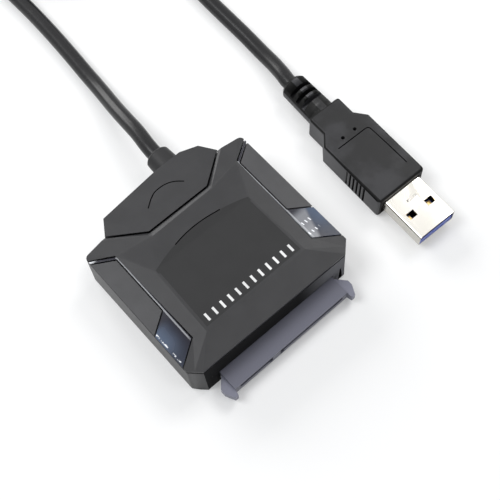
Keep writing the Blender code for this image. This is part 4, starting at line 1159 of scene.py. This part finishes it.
class ADAPTER_OT_plug(AdapterOperator, bpy.types.Operator):
    """Adds the plug: its moulding, shell, tongue and contacts"""

    bl_idname = "adapter.plug"
    bl_label = "Plug"

    def execute(self, context):
        colours = self.colours(context)
        soft = moulded("plug_moulding", colours.mould, 0.42, grain=0.4, distance=0.016)
        # Random cloudy patches from 0.45 to 1.5 times the moulding's colour: partly its own marbled tone,
        # partly a painted sheen.
        marbling_and_sheen = soft.noise(110.0, 3.0).between(0.38, 0.66)
        soft.feed("Base Color", soft.mix(marbling_and_sheen, tone(colours.mould, 0.45), tone(colours.mould, 1.5)))
        self.add_moulding(context, soft)
        self.add_shell(colours)
        self.add_tongue(colours)
        self.add_contacts(gilded(colours))
        return {"FINISHED"}

    def add_tongue(self, colours):
        blue = moulded("blue_tongue", colours.tongue, 0.36)
        tongue = dressed("tongue", "plug_tongue", blue)
        # Painted shade: the tongue's top, seen only through the shell's holes, takes a near-black.
        second_finish(tongue, painted_groove_shade(), lambda face: face.normal.z > 0.9)
        soften(tongue, 0.08 * MM)
        keep(even_out(tongue), "tongue", "plug_tongue")

    def add_contacts(self, gold):
        turn = plug_matrix()
        back = turn.inverted()
        for label, count in (("pad", 4), ("spring", 5)):
            corners = [back @ vertex.co for vertex in NODES[f"plug_{label}_1"].data.vertices]
            low = Vector([min(corner[axis] for corner in corners) for axis in range(3)])
            high = Vector([max(corner[axis] for corner in corners) for axis in range(3)])
            others = [back @ vertex.co for vertex in NODES[f"plug_{label}_2"].data.vertices]
            pitch = min(corner.x for corner in others) - low.x
            thickness = high.z - low.z
            middle = (low.x + high.x) / 2
            level = (low.z + high.z) / 2
            line = [
                (low.y, low.z + thickness * 0.3),
                (low.y + 0.35 * MM, level),
                (high.y - 0.2 * MM, level),
                (high.y, level),
            ]
            bar = strip_of_metal("plug_contact", line, high.x - low.x, thickness)
            row = row_of(f"plug_{label}s", bar, gold, count, pitch, (middle, 0, 0))
            row.data.transform(turn)
            keep(row, "gold", *[f"plug_{label}_{number + 1}" for number in range(count)])

    def add_moulding(self, context, finish):
        sizes = self.sizes(context)
        turn = plug_matrix()
        back = turn.inverted()
        mould = dressed("plug_grip", "plug_overmould", finish, 0.2)
        corner = smooth_path(in_plan(PANEL_LINE), 0.6)
        path = [turn @ Vector((point.x * MM, point.y * MM, MOULD_TOP)) for point in corner]
        # The L-shaped line's faces take painted shade, a near-black.
        carve(mould, ribbon(path, sizes.line, sizes.line_depth, 0.15 * MM), material=painted_groove_shade())
        self.drill(mould, turn)
        pale = moulded("mould_side", tone(self.colours(context).mould, 2.2), 0.4, grain=0.4)
        second_finish(mould, pale.material, lambda face: self.is_pale(face, back @ face.center))
        # Painted shade: the faces down in the strain relief's slots take a near-black.
        second_finish(mould, painted_groove_shade(), lambda face: self.in_relief_slot(face, back @ face.center))
        second_finish(mould, self.painted_edge_shade(), self.on_edge)
        half = max(abs((back @ vertex.co).x) for vertex in mould.data.vertices)
        # Painted shade: the faces inside the grip's grooves take a near-black.
        second_finish(mould, painted_groove_shade(), lambda face: self.in_grip(back @ face.center, half, face.normal))
        keep(even_out(mould), "mould", "plug_overmould")

    def drill(self, mould, turn):
        """Drills the two small holes beside the line."""
        bm = bmesh.new()
        for x, y in HOLES:
            bmesh.ops.create_cone(
                bm,
                cap_ends=True,
                segments=16,
                radius1=HOLE_RADIUS,
                radius2=HOLE_RADIUS,
                depth=HOLE_LENGTH,
                matrix=turn @ Matrix.Translation((x * MM, y * MM, MOULD_TOP)),
            )
        # The holes' faces take painted shade, a near-black.
        carve(mould, mesh_from(bm, "holes"), material=painted_groove_shade())

    def painted_edge_shade(self):
        """Painted shade: a blacker rim round the moulding's top and a blacker front, where shade falls."""
        colours = ((0.006, 0.006, 0.006), (0.011, 0.011, 0.011))
        return speckled("mould_edge_painted_shade", *colours, (400.0, 900.0), (0.45, 0.15), specular_ior_level=0.1).material

    def on_edge(self, face):
        """Whether a face belongs to the rim of the moulding's top, or to its front."""
        front = face.normal.y < -0.9 and face.center.y < FRONT_Y + MOULD_FRONT
        return 0.3 < face.normal.z < 0.95 or front

    def is_pale(self, face, place):
        """Whether a face belongs to the moulding's upright sides or to the strain relief."""
        upright = abs(face.normal.z) < 0.2 and abs(face.normal.x) > 0.6
        return face.material_index == 0 and (upright or place.y > RELIEF_START)

    def in_relief_slot(self, face, place):
        """Whether a face lies down in one of the strain relief's slots."""
        deep = math.hypot(place.x, place.z - PLUG_AXIS_Z) < 0.84 * RELIEF_RADIUS or abs(face.normal.y) > 0.7
        start, end = RELIEF_SLOTS
        return deep and start < place.y - RELIEF_START < end

    def in_grip(self, place, half, normal):
        """Whether a face of the moulding lies inside one of the grip's grooves."""
        inset = half - abs(place.x)
        along = GRIP[0] < place.y < GRIP[1]
        return along and GRIP_INSET[0] < inset < GRIP_INSET[1] and abs(normal.z) < 0.3

    def add_shell(self, colours):
        nickel = Finish("nickel_shell", metallic=1.0)
        brushed = nickel.noise(900.0, 3.0, nickel.stretched((1.0, 0.06, 1.0), PLUG_YAW))
        shade = brushed.between(0.3, 0.7)
        nickel.feed("Base Color", nickel.mix(shade, colours.shell, tone(colours.shell, 0.95)))
        nickel.feed("Roughness", 0.07 + 0.05 * brushed)
        nickel.bump(brushed, 0.002 * MM, 0.4)
        shell = dressed("shell", "plug_shell", nickel, 0.2)
        turn = plug_matrix()
        top = PLUG_AXIS_Z + SHELL_HALF
        line = [turn @ Vector((x * MM, PRESSED_PLACE * MM, top)) for x in PRESSED_MARK]
        dull = ((0.42, 0.4, 0.37), (0.55, 0.53, 0.5))
        pressed = speckled("pressed_nickel", *dull, (900.0, 1500.0), (0.3, 0.1), metallic=1.0)
        carve(shell, ribbon(line, 0.3 * MM, 0.14 * MM, 0.2 * MM), material=pressed.material)
        # Painted shade: the shell's upright sides take a darker copy of the nickel, 0.62 to 0.72 of its
        # colour, where less light falls.
        sides = Finish("shell_sides_painted_shade", metallic=1.0)
        streaks = sides.noise(1200.0, 2.0, sides.stretched((1.0, 0.1, 1.0), PLUG_YAW))
        sides.feed("Base Color", sides.mix(streaks, tone(colours.shell, 0.62), tone(colours.shell, 0.72)))
        sides.feed("Roughness", 0.22 + 0.1 * streaks)
        second_finish(shell, sides.material, self.is_side)
        keep(even_out(shell), "shell", "plug_shell")

    def is_side(self, face):
        """Whether a face of the shell is upright and still plain nickel."""
        return abs(face.normal.z) < 0.5 and face.material_index == 0


def paint(node, finish):
    mesh = NODES[node].data
    mesh.materials.clear()
    mesh.materials.append(finish.material)


class ADAPTER_OT_inside(AdapterOperator, bpy.types.Operator):
    """Finishes the board, its parts and its wires"""

    bl_idname = "adapter.inside"
    bl_label = "Inside"

    def execute(self, context):
        mask = Finish("board_laminate", coat_weight=0.3)
        x, y, _ = mask.axes()
        traces = (x * 900.0).math("SINE").math("ABSOLUTE") * (y * 700.0).math("SINE").math("ABSOLUTE")
        green = tuple(self.colours(context).board)
        mask.feed("Base Color", mask.mix(traces.between(0.2, 0.45), tone(green, 1.6), green))
        mask.feed("Roughness", 0.3 + 0.2 * mask.noise(900.0))
        paint("circuit_board", mask)
        resin = moulded("chip_resin", (0.02, 0.02, 0.021), 0.5)
        for node in ("bridge_chip", "flash_chip", "regulator", "inductor"):
            paint(node, resin)
        greys = ((0.62, 0.62, 0.63), (0.75, 0.75, 0.74))
        tin = speckled("tin", *greys, (600.0, 1500.0), (0.25, 0.15), metallic=1.0)
        for node in ("crystal", "input_capacitor", "output_capacitor"):
            paint(node, tin)
        lamp = moulded("lamp_resin", (0.72, 0.78, 0.82), 0.2)
        for node in ("left_lamp", "right_lamp"):
            paint(node, lamp)
        for node, colour in (
            ("power_wire", (0.5, 0.02, 0.015)),
            ("data_pair", (0.05, 0.3, 0.07)),
            ("receive_pair", (0.05, 0.12, 0.5)),
            ("transmit_pair", (0.5, 0.3, 0.03)),
            ("ground_wire", (0.02, 0.02, 0.02)),
        ):
            paint(node, moulded(node + "_insulation", colour, 0.35))
        return {"FINISHED"}


class ADAPTER_OT_markings(AdapterOperator, bpy.types.Operator):
    """Adds the plain white bars on the plateau"""

    bl_idname = "adapter.markings"
    bl_label = "Markings"

    def execute(self, context):
        sizes = self.sizes(context)
        white = moulded("white_print", self.colours(context).print_white, 0.5)
        half = Vector((sizes.mark_width / 2, sizes.mark_height / 2, 0))
        bm = bmesh.new()
        add_box(bm, -half, half + Vector((0, 0, MARK_THICKNESS)))
        bar = mesh_from(bm, "front_marks")
        pitch = sizes.mark_span / (sizes.mark_count - 1)
        start = case_point(0, MARK_ROW, PLATEAU_TOP) - Vector((sizes.mark_span / 2, 0, 0))
        row = row_of("front_marks", bar, white, sizes.mark_count, pitch, tuple(start))
        keep(row, "case")
        return {"FINISHED"}


class ADAPTER_PT_build(bpy.types.Panel):
    """Lists the building steps"""

    bl_label = "Adapter"
    bl_space_type = "VIEW_3D"
    bl_region_type = "UI"
    bl_category = "Adapter"

    def draw(self, context):
        for step in STEPS:
            self.layout.operator(step.bl_idname)
        for group in (context.scene.adapter_sizes, context.scene.adapter_colours):
            for name in group.__annotations__:
                self.layout.prop(group, name)


STEPS = (
    ADAPTER_OT_stage,
    ADAPTER_OT_case,
    ADAPTER_OT_strips,
    ADAPTER_OT_receptacle,
    ADAPTER_OT_plug,
    ADAPTER_OT_cable,
    ADAPTER_OT_inside,
    ADAPTER_OT_markings,
)
CLASSES = (AdapterSizes, AdapterColours, *STEPS, ADAPTER_PT_build)


def register():
    for item in CLASSES:
        bpy.utils.register_class(item)
    bpy.types.Scene.adapter_sizes = bpy.props.PointerProperty(type=AdapterSizes)
    bpy.types.Scene.adapter_colours = bpy.props.PointerProperty(type=AdapterColours)


def unregister():
    del bpy.types.Scene.adapter_colours
    del bpy.types.Scene.adapter_sizes
    for item in reversed(CLASSES):
        bpy.utils.unregister_class(item)


def main():
    register()
    for step in STEPS:
        getattr(bpy.ops.adapter, step.bl_idname.split(".")[1])()


if __name__ == "__main__":
    main()
